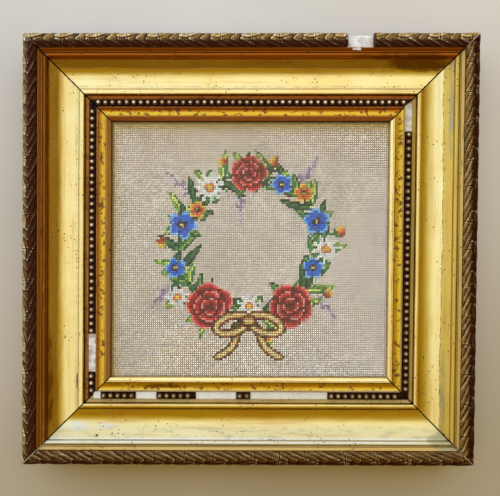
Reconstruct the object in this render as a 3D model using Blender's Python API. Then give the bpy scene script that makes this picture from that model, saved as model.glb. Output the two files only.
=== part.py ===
"""An embroidered picture in a deep gilt frame, lying on its back.

Metres, with +Z up. The picture looks up and its top edge is towards +Y. The origin is the middle of the
frame's outline, at the height of the rails' backs. Every length of moulding or ornament is modelled along its
own X, with Y running in from the frame's outer edge, and is then turned into place on its side of the frame.
"""

import math

import bmesh
import bpy
from mathutils import Vector

# The frame's outline, and how far its top edge stands to the right of its bottom edge
OUTER_WIDTH = 0.402
OUTER_HEIGHT = 0.382
OUT_OF_SQUARE = 0.0027

# Gaps: the open crack of each mitre, square to it, and the clearance between pieces that touch
MITRE_CRACK = 0.0006
CLEARANCE = 0.0003

# A cut this near a point goes through it, which leaves no slivers
CUT_SNAP = 0.00005

# Outer moulding, with distances in from the outer edge and heights above the back
BACK_INSET = 0.0040
SIDE_INSET = 0.0008
SIDE_TURN = 0.0016
SEAT_HEIGHT = 0.0360
SEAT_WIDTH = 0.0116
EDGE_FILLET_END = 0.0122
EDGE_FILLET_HEIGHT = 0.0378
QUIRK_DEPTH = 0.0003
COVE_START = 0.0200
COVE_FIRST = 0.0253
COVE_TOP = 0.0374
COVE_LOWEST = 0.0385
COVE_END = 0.0432
COVE_DEPTH = 0.0170
LIP_START = 0.0434
LIP_START_HEIGHT = 0.0213
LIP_TOP_START = 0.0468
LIP_TOP_HEIGHT = 0.0228
LIP_ROUND = 0.0006
MOULDING_WIDTH = 0.0486
REBATE_DEPTH = 0.0140
REBATE_START = 0.0400
COVE_STEPS = 12
REED_STEPS = 6
LIP_STEPS = 4

# Reeds on the slope between the edge fillet and the cove: middle down the slope, half width and rise
REEDS = ((0.0035, 0.0006, 0.0006), (0.0070, 0.0024, 0.0013))

# Inner slip, which sits in the outer moulding's rebate and ends at the sight edge
SLIP_BACK = 0.0040
SLIP_WALL = 0.0491
LEDGE_HEIGHT = 0.0186
CHANNEL_START = 0.0521
CHANNEL_END = 0.0593
CHANNEL_HEIGHT = 0.0174
INNER_FILLET_END = 0.0606
INNER_FILLET_HEIGHT = 0.0194
ROLL_MIDDLE = 0.0681
ROLL_FOOT = 0.0176
ROLL_HALF_WIDTH = 0.0009
ROLL_RISE = 0.0007
SIGHT_EDGE = 0.0720
CLOTH_REBATE_START = 0.0660
CLOTH_REBATE_DEPTH = 0.0120
ROLL_STEPS = 4

# Hollow band of the slip, and its bevel down to the sight edge: distance in and height
BAND = (
    (0.0606, 0.0190),
    (0.0616, 0.0184),
    (0.0628, 0.0180),
    (0.0642, 0.0178),
    (0.0658, 0.0178),
    (0.0672, 0.0180),
)
BEVEL = (
    (0.0690, 0.0168),
    (0.0705, 0.0152),
    (0.0717, 0.0134),
    (0.0720, 0.0130),
)

# Leaf ornament: a half-round length raised into overlapping leaf tips, one at each pitch
LEAF_WIDTH = 0.0113
LEAF_EDGE_HEIGHT = 0.0015
LEAF_CROWN = 0.0440
LEAF_PITCH = 0.0091
LEAF_SWEEP = 0.0085
LEAF_DROP = 0.0010
LEAF_TIP_FACE = 0.0008
LEAF_STEPS = 6

# Bead ornament: a half-round length waisted between beads
BEAD_PITCH = 0.0065
BEAD_WIDTH = 0.0066
BEAD_RISE = 0.0040
BEAD_EDGE_HEIGHT = 0.0006
BEAD_WAIST = 0.45
BEAD_SHOULDERS = (0.3, 0.7)
BEAD_STEPS = 3

# Cloth: the canvas with its stitches, held under the slip's lip
CLOTH_THICKNESS = 0.0020

# Sides of the frame: quarter turns from the bottom one, and whether the side is upright in the picture
SIDES = {"bottom": (0, False), "right": (1, True), "top": (2, False), "left": (3, True)}

# Lengths of leaf ornament that are left: name, side, and where each ends along the side, or None at a mitre
LEAF_LENGTHS = (
    ("leaf_bottom", "bottom", None, None),
    ("leaf_right", "right", None, None),
    ("leaf_top_east", "top", None, -0.1090),
    ("leaf_top_west", "top", -0.0850, None),
    ("leaf_left", "left", None, None),
)

# Lengths of beads that are left: name, side, and beads from the side's middle to each end, or None at a mitre
BEAD_LENGTHS = (
    ("bead_bottom_1", "bottom", -21.1, -16.1),
    ("bead_bottom_2", "bottom", -13.1, -7.5),
    ("bead_bottom_3", "bottom", -1.7, 0.3),
    ("bead_bottom_4", "bottom", 11.3, None),
    ("bead_right", "right", None, 16.8),
    ("bead_top", "top", None, None),
    ("bead_left_north", "left", None, 12),
    ("bead_left_south", "left", 17.5, None),
)


def clear_scene():
    for old in list(bpy.data.objects):
        bpy.data.objects.remove(old)


def finish(name, colour, roughness, metallic):
    """A plain material for one kind of piece."""
    made = bpy.data.materials.new(name)
    made.use_nodes = True
    shader = made.node_tree.nodes["Principled BSDF"]
    shader.inputs["Base Color"].default_value = (*colour, 1.0)
    shader.inputs["Roughness"].default_value = roughness
    shader.inputs["Metallic"].default_value = metallic
    return made


def half_length(side):
    """Half the frame's outline along this side."""
    return (OUTER_HEIGHT if SIDES[side][1] else OUTER_WIDTH) / 2


def half_across(side):
    """How far this side's outer edge is from the frame's middle."""
    return (OUTER_WIDTH if SIDES[side][1] else OUTER_HEIGHT) / 2


def slope():
    """Metres to the right for each metre up the picture."""
    return OUT_OF_SQUARE / OUTER_HEIGHT


def lean(side, point):
    """A point of a side's own frame, moved as the frame leans out of square."""
    along, inward, height = point
    if SIDES[side][1]:
        return Vector((along, inward - slope() * along, height))
    return Vector((along + slope() * inward, inward, height))


def ellipse_points(centre, across, up, first, last, steps):
    """Points on an ellipse between two angles, in degrees: 0 is towards the frame's inside and 90 is up."""
    points = []
    for step in range(steps + 1):
        angle = math.radians(first + (last - first) * step / steps)
        points.append((centre[0] + across * math.cos(angle), centre[1] + up * math.sin(angle)))
    return points


def reeded_slope(top, bottom):
    """Points down a straight slope, over each reed in its quirk."""
    down = (bottom - top).normalized()
    out = Vector((-down.y, down.x))
    points = []
    for middle, half, rise in REEDS:
        reed = ellipse_points((middle, -QUIRK_DEPTH), half, rise, 180, 0, REED_STEPS)
        for far, depth in [(middle - half, 0), *reed, (middle + half, 0)]:
            points.append(tuple(top + down * far + out * depth))
    return points


def moulding_section():
    """The outer moulding's outline, from its back up the outside, over reeds and cove and down the lip."""
    reach = COVE_LOWEST - COVE_START
    first = 270 + math.degrees(math.asin((COVE_FIRST - COVE_LOWEST) / reach))
    last = 270 + math.degrees(math.asin((COVE_END - COVE_LOWEST) / reach))
    cove = ellipse_points((COVE_LOWEST, COVE_TOP), reach, COVE_DEPTH, first, last, COVE_STEPS)
    reeds = reeded_slope(Vector((EDGE_FILLET_END, EDGE_FILLET_HEIGHT)), Vector(cove[0]))
    outside = [(BACK_INSET, 0), (SIDE_INSET, SEAT_HEIGHT - SIDE_TURN), (SIDE_INSET, SEAT_HEIGHT)]
    edge = [
        (SEAT_WIDTH, SEAT_HEIGHT),
        (SEAT_WIDTH, EDGE_FILLET_HEIGHT),
        (EDGE_FILLET_END, EDGE_FILLET_HEIGHT),
    ]
    rounded = ellipse_points(
        (LIP_TOP_START, LIP_START_HEIGHT),
        LIP_TOP_START - LIP_START,
        LIP_TOP_HEIGHT - LIP_START_HEIGHT,
        180,
        90,
        LIP_STEPS,
    )
    lip = rounded + [
        (MOULDING_WIDTH - LIP_ROUND, LIP_TOP_HEIGHT),
        (MOULDING_WIDTH, LIP_TOP_HEIGHT - LIP_ROUND),
        (MOULDING_WIDTH, REBATE_DEPTH),
        (REBATE_START, REBATE_DEPTH),
        (REBATE_START, 0),
    ]
    return outside + edge + reeds + cove + lip


def slip_section():
    """The slip's outline, from its tongue in the rebate over the bead channel and down to the sight edge."""
    tongue = [
        (REBATE_START + CLEARANCE, SLIP_BACK),
        (REBATE_START + CLEARANCE, REBATE_DEPTH - CLEARANCE),
        (SLIP_WALL, REBATE_DEPTH - CLEARANCE),
        (SLIP_WALL, LEDGE_HEIGHT),
    ]
    channel = [
        (CHANNEL_START, LEDGE_HEIGHT),
        (CHANNEL_START, CHANNEL_HEIGHT),
        (CHANNEL_END, CHANNEL_HEIGHT),
        (CHANNEL_END, INNER_FILLET_HEIGHT),
        (INNER_FILLET_END, INNER_FILLET_HEIGHT),
    ]
    roll = ellipse_points((ROLL_MIDDLE, ROLL_FOOT), ROLL_HALF_WIDTH, ROLL_RISE, 180, 0, ROLL_STEPS)
    lip = [
        (SIGHT_EDGE, CLOTH_REBATE_DEPTH),
        (CLOTH_REBATE_START, CLOTH_REBATE_DEPTH),
        (CLOTH_REBATE_START, SLIP_BACK),
    ]
    return tongue + channel + list(BAND) + roll + list(BEVEL) + lip


def skin(loops):
    """A closed bmesh over a row of loops of points, each with the same number of points."""
    mesh = bmesh.new()
    rings = [[mesh.verts.new(point) for point in loop] for loop in loops]
    count = len(rings[0])
    for before, after in zip(rings, rings[1:]):
        for k in range(count):
            mesh.faces.new((before[k], before[(k + 1) % count], after[(k + 1) % count], after[k]))
    mesh.faces.new(rings[0])
    mesh.faces.new(rings[-1])
    bmesh.ops.recalc_face_normals(mesh, faces=mesh.faces)
    return mesh


def trim(mesh, point, normal):
    """Cuts off what lies past a plane and closes the cut."""
    everything = mesh.verts[:] + mesh.edges[:] + mesh.faces[:]
    bmesh.ops.bisect_plane(
        mesh, geom=everything, dist=CUT_SNAP, plane_co=point, plane_no=normal, clear_outer=True
    )
    bmesh.ops.holes_fill(mesh, edges=[edge for edge in mesh.edges if edge.is_boundary], sides=0)


def trim_ends(mesh, side, start, end):
    """Ends a length square at start and end, or at the frame's mitres where one of them is None."""
    reach = half_length(side) - MITRE_CRACK / math.sqrt(2)
    for limit, way in ((start, -1), (end, 1)):
        if limit is None:
            trim(mesh, Vector((way * reach, 0, 0)), Vector((way, 1, 0)))
        else:
            trim(mesh, Vector((limit, 0, 0)), Vector((way, 0, 0)))


def add_object(name, mesh, material, parent, side=None):
    """Makes the object, and turns it to its side of the frame."""
    data = bpy.data.meshes.new(name)
    if side:
        for vertex in mesh.verts:
            vertex.co = lean(side, vertex.co)
    bmesh.ops.recalc_face_normals(mesh, faces=mesh.faces)
    mesh.to_mesh(data)
    mesh.free()
    data.materials.append(material)
    made = bpy.data.objects.new(name, data)
    bpy.context.scene.collection.objects.link(made)
    made.parent = parent
    if side:
        quarter, upright = SIDES[side]
        angle = math.radians(90 * quarter)
        made.rotation_euler = (0, 0, angle)
        place = Vector((math.sin(angle), -math.cos(angle), 0)) * half_across(side)
        if not upright:
            place.x += slope() * place.y
        made.location = place
    return made


def straight_length(side, section):
    """One mitred length of moulding."""
    reach = half_length(side)
    mesh = skin([[(way * reach, inward, height) for inward, height in section] for way in (-1, 1)])
    trim_ends(mesh, side, None, None)
    return mesh


def half_round(width, base, edge, rise, steps):
    """A half-round section: its two bottom corners, then its top from the outer edge to the inner one."""
    top = ellipse_points((width / 2, base + edge), width / 2, rise, 180, 0, steps)
    return [(width, base), (0, base)] + top


def leaf_loops(reach):
    """Loops along a leaf length. Each leaf rises to its tip, which points along X, and drops to the next."""
    base = SEAT_HEIGHT + CLEARANCE
    rise = LEAF_CROWN - base - LEAF_EDGE_HEIGHT
    section = half_round(LEAF_WIDTH, base, LEAF_EDGE_HEIGHT, rise, LEAF_STEPS)
    count = math.ceil((reach + LEAF_SWEEP) / LEAF_PITCH)
    loops = []
    for number in range(-count, count + 1):
        for ahead, drop in ((-LEAF_TIP_FACE / 2, 0), (LEAF_TIP_FACE / 2, LEAF_DROP)):
            loop = []
            for inward, height in section:
                off_crown = abs(inward - LEAF_WIDTH / 2) / (LEAF_WIDTH / 2)
                along = number * LEAF_PITCH + ahead + LEAF_SWEEP * (0.5 - off_crown)
                lift = (height - base) / (LEAF_CROWN - base)
                loop.append((along, inward, height - drop * lift))
            loops.append(loop)
    return loops


def leaf_length(side, start, end):
    """One length of leaf ornament on the moulding's outer edge."""
    mesh = skin(leaf_loops(half_length(side)))
    trim_ends(mesh, side, start, end)
    return mesh


def bead_length(side, first_bead, last_bead):
    """One length of beads in the slip's channel."""
    base = CHANNEL_HEIGHT + CLEARANCE
    first = (CHANNEL_START + CHANNEL_END - BEAD_WIDTH) / 2
    count = math.ceil(half_length(side) / BEAD_PITCH)
    shift = (first_bead if first_bead is not None else last_bead or 0) % 1
    loops = []
    for number in range(-count, count + 1):
        for share, size in ((0, BEAD_WAIST), (BEAD_SHOULDERS[0], 1), (BEAD_SHOULDERS[1], 1)):
            width = BEAD_WIDTH * size
            inset = first + (BEAD_WIDTH - width) / 2
            section = half_round(width, base, BEAD_EDGE_HEIGHT, BEAD_RISE * size, BEAD_STEPS)
            along = (number + shift + share) * BEAD_PITCH
            loops.append([(along, inset + inward, height) for inward, height in section])
    mesh = skin(loops)
    start, end = (None if bead is None else bead * BEAD_PITCH for bead in (first_bead, last_bead))
    trim_ends(mesh, side, start, end)
    return mesh


def canvas():
    """The stretched cloth, 2 mm thick with its stitches, under the slip's lip."""
    inset = CLOTH_REBATE_START + CLEARANCE
    half_width = OUTER_WIDTH / 2 - inset
    half_height = OUTER_HEIGHT / 2 - inset
    top = CLOTH_REBATE_DEPTH - CLEARANCE
    corners = [(-half_width, -half_height), (half_width, -half_height), (half_width, half_height)]
    corners.append((-half_width, half_height))
    return skin([[(x + slope() * y, y, z) for x, y in corners] for z in (top - CLOTH_THICKNESS, top)])


def build():
    clear_scene()
    gold = finish("gold_leaf", (0.80, 0.56, 0.20), 0.35, 1.0)
    bronze = finish("dark_gilt", (0.36, 0.24, 0.09), 0.45, 0.8)
    wool = finish("worked_canvas", (0.60, 0.53, 0.40), 0.95, 0.0)
    picture = bpy.data.objects.new("picture", None)
    bpy.context.scene.collection.objects.link(picture)
    for side in SIDES:
        add_object(f"rail_{side}", straight_length(side, moulding_section()), gold, picture, side)
        add_object(f"slip_{side}", straight_length(side, slip_section()), gold, picture, side)
    for name, side, start, end in LEAF_LENGTHS:
        add_object(name, leaf_length(side, start, end), bronze, picture, side)
    for name, side, start, end in BEAD_LENGTHS:
        add_object(name, bead_length(side, start, end), bronze, picture, side)
    add_object("canvas_sheet", canvas(), wool, picture)


build()
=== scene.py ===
"""Looks of an embroidered flower picture in a worn gilt frame, lying on its back.

Metres, in the frame of the solids: +X to the picture's right, +Y up the picture and +Z out of its face.
Each side of the frame has one of its own: along it counterclockwise, in from its outer edge, and up.
"""

import math

import bmesh
import bpy
import numpy as np
from mathutils import Euler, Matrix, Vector


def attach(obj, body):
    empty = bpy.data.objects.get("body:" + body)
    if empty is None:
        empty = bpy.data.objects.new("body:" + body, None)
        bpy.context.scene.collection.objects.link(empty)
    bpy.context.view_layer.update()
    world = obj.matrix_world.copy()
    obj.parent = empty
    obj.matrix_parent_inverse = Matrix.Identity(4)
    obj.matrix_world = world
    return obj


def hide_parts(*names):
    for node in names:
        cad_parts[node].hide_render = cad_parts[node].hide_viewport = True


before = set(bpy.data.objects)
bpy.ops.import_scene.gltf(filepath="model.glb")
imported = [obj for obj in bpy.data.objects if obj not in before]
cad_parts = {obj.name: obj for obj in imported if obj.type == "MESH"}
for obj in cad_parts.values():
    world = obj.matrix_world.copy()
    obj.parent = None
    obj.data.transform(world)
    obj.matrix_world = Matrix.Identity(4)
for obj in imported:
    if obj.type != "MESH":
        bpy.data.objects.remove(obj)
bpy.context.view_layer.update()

# The frame's outline and lean, and the open crack of each mitre, as the solids have them
OUTER_WIDTH = 0.402
OUTER_HEIGHT = 0.382
LEAN = 0.0027 / OUTER_HEIGHT
MITRE_CRACK = 0.0006
SIDES = ("bottom", "right", "top", "left")
UPRIGHT_SIDES = ("right", "left")

# Camera: where it stands, how it is turned in degrees, and its lens
CAMERA_PLACE = (0.00346, 0.01014, 0.52602)
CAMERA_TURN = (-0.947, 0.329, 0.0957)
CAMERA_LENS_MM = 39.55
CAMERA_SENSOR_MM = 36.0


def half_length(side):
    """Half the frame's outline along this side."""
    return (OUTER_HEIGHT if side in UPRIGHT_SIDES else OUTER_WIDTH) / 2


def place(side, along, inward, height):
    """Points of a side's own frame, given as arrays, in the frame of the solids."""
    along, inward, height = np.broadcast_arrays(along, inward, height)
    if side == "bottom":
        x, y = along, inward - OUTER_HEIGHT / 2
    elif side == "right":
        x, y = OUTER_WIDTH / 2 - inward, along
    elif side == "top":
        x, y = -along, OUTER_HEIGHT / 2 - inward
    else:
        x, y = inward - OUTER_WIDTH / 2, -along
    return np.stack([x + LEAN * y, y, height], axis=-1)


def ease(value, low, high):
    """0 below low, 1 above high, and a smooth rise between them."""
    share = np.clip((value - low) / (high - low), 0, 1)
    return share * share * (3 - 2 * share)


def waves(coordinates, size, seed, octaves=3):
    """Smooth noise between about -1 and 1 over some coordinates, as sine waves in seeded directions."""
    points = np.stack(np.broadcast_arrays(*coordinates), axis=-1)
    draw = np.random.default_rng(seed)
    total = np.zeros(points.shape[:-1])
    weight = 1.0
    for octave in range(octaves):
        for _ in range(5):
            turn = draw.uniform(0, 2 * math.pi, 2)
            direction = np.array([math.cos(turn[0]), math.sin(turn[0]), draw.uniform(-0.5, 0.5)])
            stretch = draw.uniform(0.7, 1.4)
            phase = points @ direction[: points.shape[-1]] * (2 * math.pi * stretch * 2**octave / size)
            total += weight * np.sin(phase + turn[1])
        weight *= 0.55
    return total / 4.5


def add(name, data):
    """A new object in the scene."""
    made = bpy.data.objects.new(name, data)
    bpy.context.scene.collection.objects.link(made)
    return made


def make_object(name, points, faces, material, tones=None, smooth_angle=None):
    """A mesh object that rides on the frame. With no faces it is a closed skin over rows of points."""
    if faces is None:
        faces = skin_faces(*points.shape[:2])
    mesh = bpy.data.meshes.new(name)
    mesh.from_pydata(np.asarray(points).reshape(-1, 3).tolist(), [], faces)
    for tone_name, values in (tones or {}).items():
        layer = mesh.attributes.new(tone_name, "FLOAT", "POINT")
        layer.data.foreach_set("value", np.asarray(values, np.float32).ravel())
    shell = bmesh.new()
    shell.from_mesh(mesh)
    bmesh.ops.recalc_face_normals(shell, faces=shell.faces)
    shell.to_mesh(mesh)
    shell.free()
    mesh.shade_smooth()
    if smooth_angle:
        mesh.set_sharp_from_angle(angle=math.radians(smooth_angle))
    mesh.materials.append(material)
    made = add(name, mesh)
    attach(made, "root")
    return made


def skin_faces(rows, count):
    """Faces of a closed skin over rows of loops of count points, with its two end caps."""
    index = np.arange(rows * count).reshape(rows, count)
    after = np.roll(index, -1, axis=1)
    quads = np.stack([index[:-1], after[:-1], after[1:], index[1:]], axis=-1).reshape(-1, 4)
    return quads.tolist() + [index[0, ::-1].tolist(), index[-1].tolist()]


def repeat_faces(template, stride, copies):
    """The faces of one small mesh, repeated for many copies of it whose points follow each other."""
    faces = []
    for corners in sorted({len(face) for face in template}):
        block = np.array([face for face in template if len(face) == corners])
        shifted = block[None] + (np.arange(copies) * stride)[:, None, None]
        faces += shifted.reshape(-1, corners).tolist()
    return faces


class Finish:
    """A node material, built up by short calls."""

    def __init__(self, name):
        self.material = bpy.data.materials.new(name)
        self.material.use_nodes = True
        self.tree = self.material.node_tree
        self.shader = self.tree.nodes["Principled BSDF"]

    def feed(self, source, socket):
        """Sets a socket to a value, or links it to another node's output."""
        if isinstance(source, bpy.types.NodeSocket):
            self.tree.links.new(source, socket)
        else:
            socket.default_value = source

    def node(self, kind, settings=None, **inputs):
        """A node with its settings, and its inputs by name, with _ for a space."""
        made = self.tree.nodes.new("ShaderNode" + kind)
        for name, value in (settings or {}).items():
            setattr(made, name, value)
        for name, source in inputs.items():
            self.feed(source, made.inputs[name.replace("_", " ")])
        return made

    def math(self, operation, first, second=0.0):
        made = self.node("Math", {"operation": operation})
        self.feed(first, made.inputs[0])
        self.feed(second, made.inputs[1])
        return made.outputs[0]

    def times(self, first, second):
        return self.math("MULTIPLY", first, second)

    def plus(self, first, second):
        return self.math("ADD", first, second)

    def minus(self, first, second):
        return self.math("SUBTRACT", first, second)

    def span(self, value, low, high, to_low=0.0, to_high=1.0):
        """value from low to high, carried smoothly to to_low to to_high."""
        made = self.node(
            "MapRange",
            {"interpolation_type": "SMOOTHSTEP"},
            Value=value,
            From_Min=low,
            From_Max=high,
            To_Min=to_low,
            To_Max=to_high,
        )
        return made.outputs["Result"]

    def mix(self, share, first, second):
        """The first colour, and the second as share rises to 1."""
        made = self.node("Mix", {"data_type": "RGBA"})
        self.feed(share, made.inputs[0])
        self.feed(first, made.inputs[6])
        self.feed(second, made.inputs[7])
        return made.outputs[2]

    def tone(self, name):
        """A value that make_object keeps at the mesh's points."""
        return self.node("Attribute", {"attribute_name": name}).outputs["Fac"]

    def place(self, stretch=(1, 1, 1)):
        """The place on the object in metres, stretched so that noise runs long where stretch is small."""
        point = self.node("TexCoord").outputs["Object"]
        return self.node("Mapping", Vector=point, Scale=stretch).outputs["Vector"]

    def rail_place(self, squeeze, seed=0.0):
        """The place on a length of moulding, squeezed along it so that noise runs along the rail."""
        along = self.times(self.tone("along"), squeeze)
        side = self.plus(self.tone("side"), seed)
        return self.node("CombineXYZ", X=along, Y=self.tone("inward"), Z=side).outputs["Vector"]

    def vary(self, value, noise, amount):
        """A value moved up and down with a noise around 0.5."""
        return self.plus(value, self.times(self.minus(noise, 0.5), amount))

    def line(self, value, middle, half):
        """1 where a value is at the middle, falling to 0 at half away from it."""
        away = self.math("ABSOLUTE", self.minus(value, middle))
        return self.span(away, half, half * 0.35)

    def most(self, first, *others):
        """The highest of some values."""
        for other in others:
            first = self.math("MAXIMUM", first, other)
        return first

    def noise(self, size, detail=3.0, roughness=0.6, vector=None):
        """Noise from 0 to 1 with features of about this size in metres, on the object or over a vector."""
        if vector is None:
            vector = self.place()
        made = self.node("TexNoise", Vector=vector, Scale=1 / size, Detail=detail, Roughness=roughness)
        return made.outputs["Fac"]

    def dots(self, vector, spacing, radius, share):
        """1 inside round specks of about this radius, in a share of the cells of a net of this spacing."""
        made = self.node("TexVoronoi", Vector=vector, Scale=1 / spacing)
        cell = self.node("SeparateColor", Color=made.outputs["Color"]).outputs[0]
        near = self.span(made.outputs["Distance"], radius / spacing, radius / spacing * 0.5)
        return self.times(near, self.math("LESS_THAN", cell, share))

    def bump(self, height, distance, strength):
        """Fine relief from a height between 0 and 1, in metres from its lowest to its highest."""
        made = self.node("Bump", Height=height, Distance=distance, Strength=strength)
        self.feed(made.outputs["Normal"], self.shader.inputs["Normal"])

    def set(self, **inputs):
        for name, source in inputs.items():
            self.feed(source, self.shader.inputs[name.replace("_", " ")])


def daylight(red, green, blue):
    """A colour given out of 255 as it is seen on a screen, as Blender's linear colour."""
    linear = []
    for level in (red / 255, green / 255, blue / 255):
        linear.append(level / 12.92 if level <= 0.04045 else ((level + 0.055) / 1.055) ** 2.4)
    return (*linear, 1.0)


GOLD = daylight(247, 222, 147)
GOLD_WARM = daylight(243, 208, 124)
DULL_PALE = daylight(214, 197, 141)
DULL_TAN = daylight(203, 167, 63)
BROWN_PALE = daylight(190, 156, 84)
BROWN_RED = daylight(166, 90, 18)
AMBER = daylight(220, 174, 50)
BOLE = daylight(96, 34, 8)
# Brown for stains and for the bottom lip's painted shade, silver for rubs and for the bottom rail's painted
# reflection
BROWN_STAIN_AND_SHADE = daylight(112, 62, 14)
SILVER_RUB_AND_REFLECTION = daylight(214, 210, 192)
RUB_GREY = daylight(150, 144, 104)
# Dark brown for dirt, specks and cracks, and for painted shade
GRIME_AND_SHADE = daylight(34, 14, 5)
GESSO = daylight(226, 212, 190)


# In from the outer edge: where the dull leaf ends, and the middle and half width of two worn lines
DULL_END = (0.0256, 0.0266)
EDGE_LINE = (0.0261, 0.0005)
FOOT_LINE = (0.0416, 0.0010)


def gilding():
    """Old gold leaf: bright in the cove, dull and brown outside it, amber in the slip's band, with dirt.
    Painted light and shade by side: pale on the bottom, tan and red-brown on the sides turned from the light,
    darker at the sight edge and on the ledges of the top and left, and painted bands along the bottom rail.
    """
    made = Finish("aged_gilding")
    streaks = made.noise(0.004, 4.0, 0.6, made.rail_place(0.05))
    clouds = made.noise(0.045, 3.0, 0.55)
    blotches = made.noise(0.0042)
    fine = made.noise(0.0016)
    ragged = made.noise(0.016, 4.0, 0.6, made.rail_place(0.35, 5.0))
    inward = made.vary(made.vary(made.tone("inward"), ragged, 0.0040), blotches, 0.0012)
    tan, matte, dusty = made.tone("tan"), made.tone("matte"), made.tone("dusty")
    outer = made.minus(1.0, made.span(inward, *DULL_END))
    dull = made.math("MAXIMUM", outer, made.tone("dull"))
    # Leaf colour of each zone, with painted light and shade by side: pale dull leaf on the bottom, tan
    # elsewhere, and red-brown zones on the top and left
    colour = made.mix(made.span(clouds, 0.35, 0.75), GOLD, GOLD_WARM)
    colour = made.mix(made.times(dull, 0.95), colour, made.mix(tan, DULL_PALE, DULL_TAN))
    colour = made.mix(made.tone("amber"), colour, AMBER)
    colour = made.mix(made.tone("brown"), colour, made.mix(made.tone("red"), BROWN_PALE, BROWN_RED))
    colour = made.mix(made.times(made.span(streaks, 0.48, 0.78), 0.40), colour, BROWN_RED)
    # Stains and rubs, and the bottom rail's bands of painted shade and painted reflection
    cloudy = made.noise(0.0045, 5.0, 0.75, made.rail_place(0.30, 9.0))
    for name, stain in (("stained", BROWN_STAIN_AND_SHADE), ("silvered", SILVER_RUB_AND_REFLECTION), ("greyed", RUB_GREY)):
        share = made.span(made.vary(made.tone(name), cloudy, 2.2), 0.20, 0.85)
        share = made.times(share, made.span(made.tone(name), 0.0, 0.30))
        colour = made.mix(made.times(share, 0.75), colour, stain)
    # Rubbed arrises, blotches of the amber band, dirt in the quirks, and painted shade at the sight edge and
    # on the ledges of the top and left
    rub = made.vary(made.tone("wear"), fine, 1.3)
    worn = made.times(made.span(rub, 0.75, 1.05), made.span(clouds, 0.4, 0.6))
    mottle = made.times(made.span(blotches, 0.54, 0.64), made.most(matte, made.tone("amber")))
    worn = made.most(made.times(worn, 0.25), made.times(mottle, 0.85))
    colour = made.mix(worn, colour, BOLE)
    dirt_and_shade = made.span(made.vary(made.tone("grime"), streaks, 0.6), 0.45, 0.95)
    streaked = made.times(matte, made.span(streaks, 0.45, 0.75, 0.1, 0.8))
    dirt_and_shade = made.most(made.times(dirt_and_shade, 0.85), streaked)
    colour = made.mix(dirt_and_shade, colour, GRIME_AND_SHADE)
    # Worn lines along the rail, specks and scratches
    edge_line = made.times(made.line(inward, *EDGE_LINE), made.span(blotches, 0.44, 0.6, 0.0, 0.75))
    edge_line = made.times(edge_line, tan)
    foot_line = made.times(made.line(inward, *FOOT_LINE), made.span(blotches, 0.45, 0.6))
    small = made.dots(made.place(), 0.0028, 0.00080, 0.45)
    small = made.times(small, made.span(made.noise(0.022, 2.0, 0.5), 0.47, 0.57))
    large = made.dots(made.rail_place(0.6, 3.0), 0.012, 0.0010, 0.25)
    scratches = made.span(made.noise(0.0011, 2.0, 0.7, made.rail_place(0.05, 7.0)), 0.66, 0.74)
    scratches = made.times(scratches, made.span(clouds, 0.46, 0.56))
    scratches = made.times(scratches, made.span(outer, 0.0, 1.0, 0.35, 0.9))
    marks = made.most(small, large, scratches, edge_line, made.times(foot_line, 0.20))
    marks = made.times(marks, 0.85)
    colour = made.mix(marks, colour, GRIME_AND_SHADE)
    chipped = made.span(made.tone("chip"), 0.45, 0.6)
    colour = made.mix(chipped, colour, GESSO)
    crack = made.span(made.tone("mitre"), 0.3, 0.7)
    colour = made.mix(crack, colour, GRIME_AND_SHADE)
    bare = made.most(dirt_and_shade, marks, chipped, crack, made.times(worn, 0.6), dusty)
    rough = made.plus(made.times(dull, 0.13), made.times(bare, 0.35))
    made.set(
        Base_Color=colour,
        Metallic=made.minus(1.0, made.times(bare, 0.9)),
        Roughness=made.plus(made.span(clouds, 0.3, 0.75, 0.20, 0.27), rough),
        Specular_IOR_Level=made.span(made.most(crack, marks, dirt_and_shade), 0.0, 0.7, 0.5, 0.05),
    )
    relief = made.minus(made.times(fine, 0.35), made.times(marks, 0.65))
    made.bump(made.plus(relief, made.times(streaks, 0.45)), 0.00022, 0.5)
    return made.material


def wood():
    """Softwood rails seen from behind and outside, with grain along them and old brown dust."""
    made = Finish("old_softwood")
    grain = made.noise(0.0016, 4.0, 0.65, made.rail_place(0.03, 1.0))
    patches = made.noise(0.05)
    colour = made.mix(made.span(grain, 0.3, 0.7), daylight(150, 112, 70), daylight(104, 70, 40))
    colour = made.mix(made.times(made.span(patches, 0.4, 0.8), 0.5), colour, daylight(78, 54, 36))
    made.set(Base_Color=colour, Roughness=made.span(grain, 0.3, 0.7, 0.68, 0.85))
    made.bump(grain, 0.0003, 0.7)
    return made.material


def composition():
    """Cast leaf ornament: darkened gilding, with gold on the high edges, painted shade in the cuts and on the
    half turned from the light, and painted highlights on the raised edges.
    """
    made = Finish("dark_gilt_leaf")
    fine = made.noise(0.0011, 3.0, 0.65)
    patches = made.noise(0.010)
    high = made.vary(made.tone("high"), fine, 0.40)
    # Dark in the cuts and pale on the raised edges: painted shade and painted highlights
    colour = made.mix(made.span(high, 0.24, 0.50), daylight(26, 9, 4), daylight(158, 118, 56))
    colour = made.mix(made.span(high, 0.62, 0.95), colour, daylight(231, 210, 160))
    olive = made.times(made.span(patches, 0.50, 0.64), made.span(high, 0.3, 0.6))
    colour = made.mix(made.times(olive, 0.5), colour, daylight(176, 140, 54))
    # Painted shade on the half of the leaves turned from the light
    shaded = made.times(made.tone("painted_shade"), made.span(high, 1.12, 0.84))
    colour = made.mix(shaded, colour, daylight(54, 12, 5))
    chipped = made.span(made.tone("chip"), 0.45, 0.6)
    colour = made.mix(made.times(chipped, 0.8), colour, daylight(92, 58, 34))
    gold = made.times(made.span(high, 0.2, 0.6), made.minus(1.0, made.most(shaded, chipped)))
    made.set(
        Base_Color=colour,
        Metallic=made.times(gold, 0.75),
        Roughness=made.span(high, 0.1, 0.9, 0.60, 0.36),
        Specular_IOR_Level=made.span(gold, 0.0, 1.0, 0.05, 0.5),
    )
    made.bump(fine, 0.00022, 0.6)
    return made.material


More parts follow.
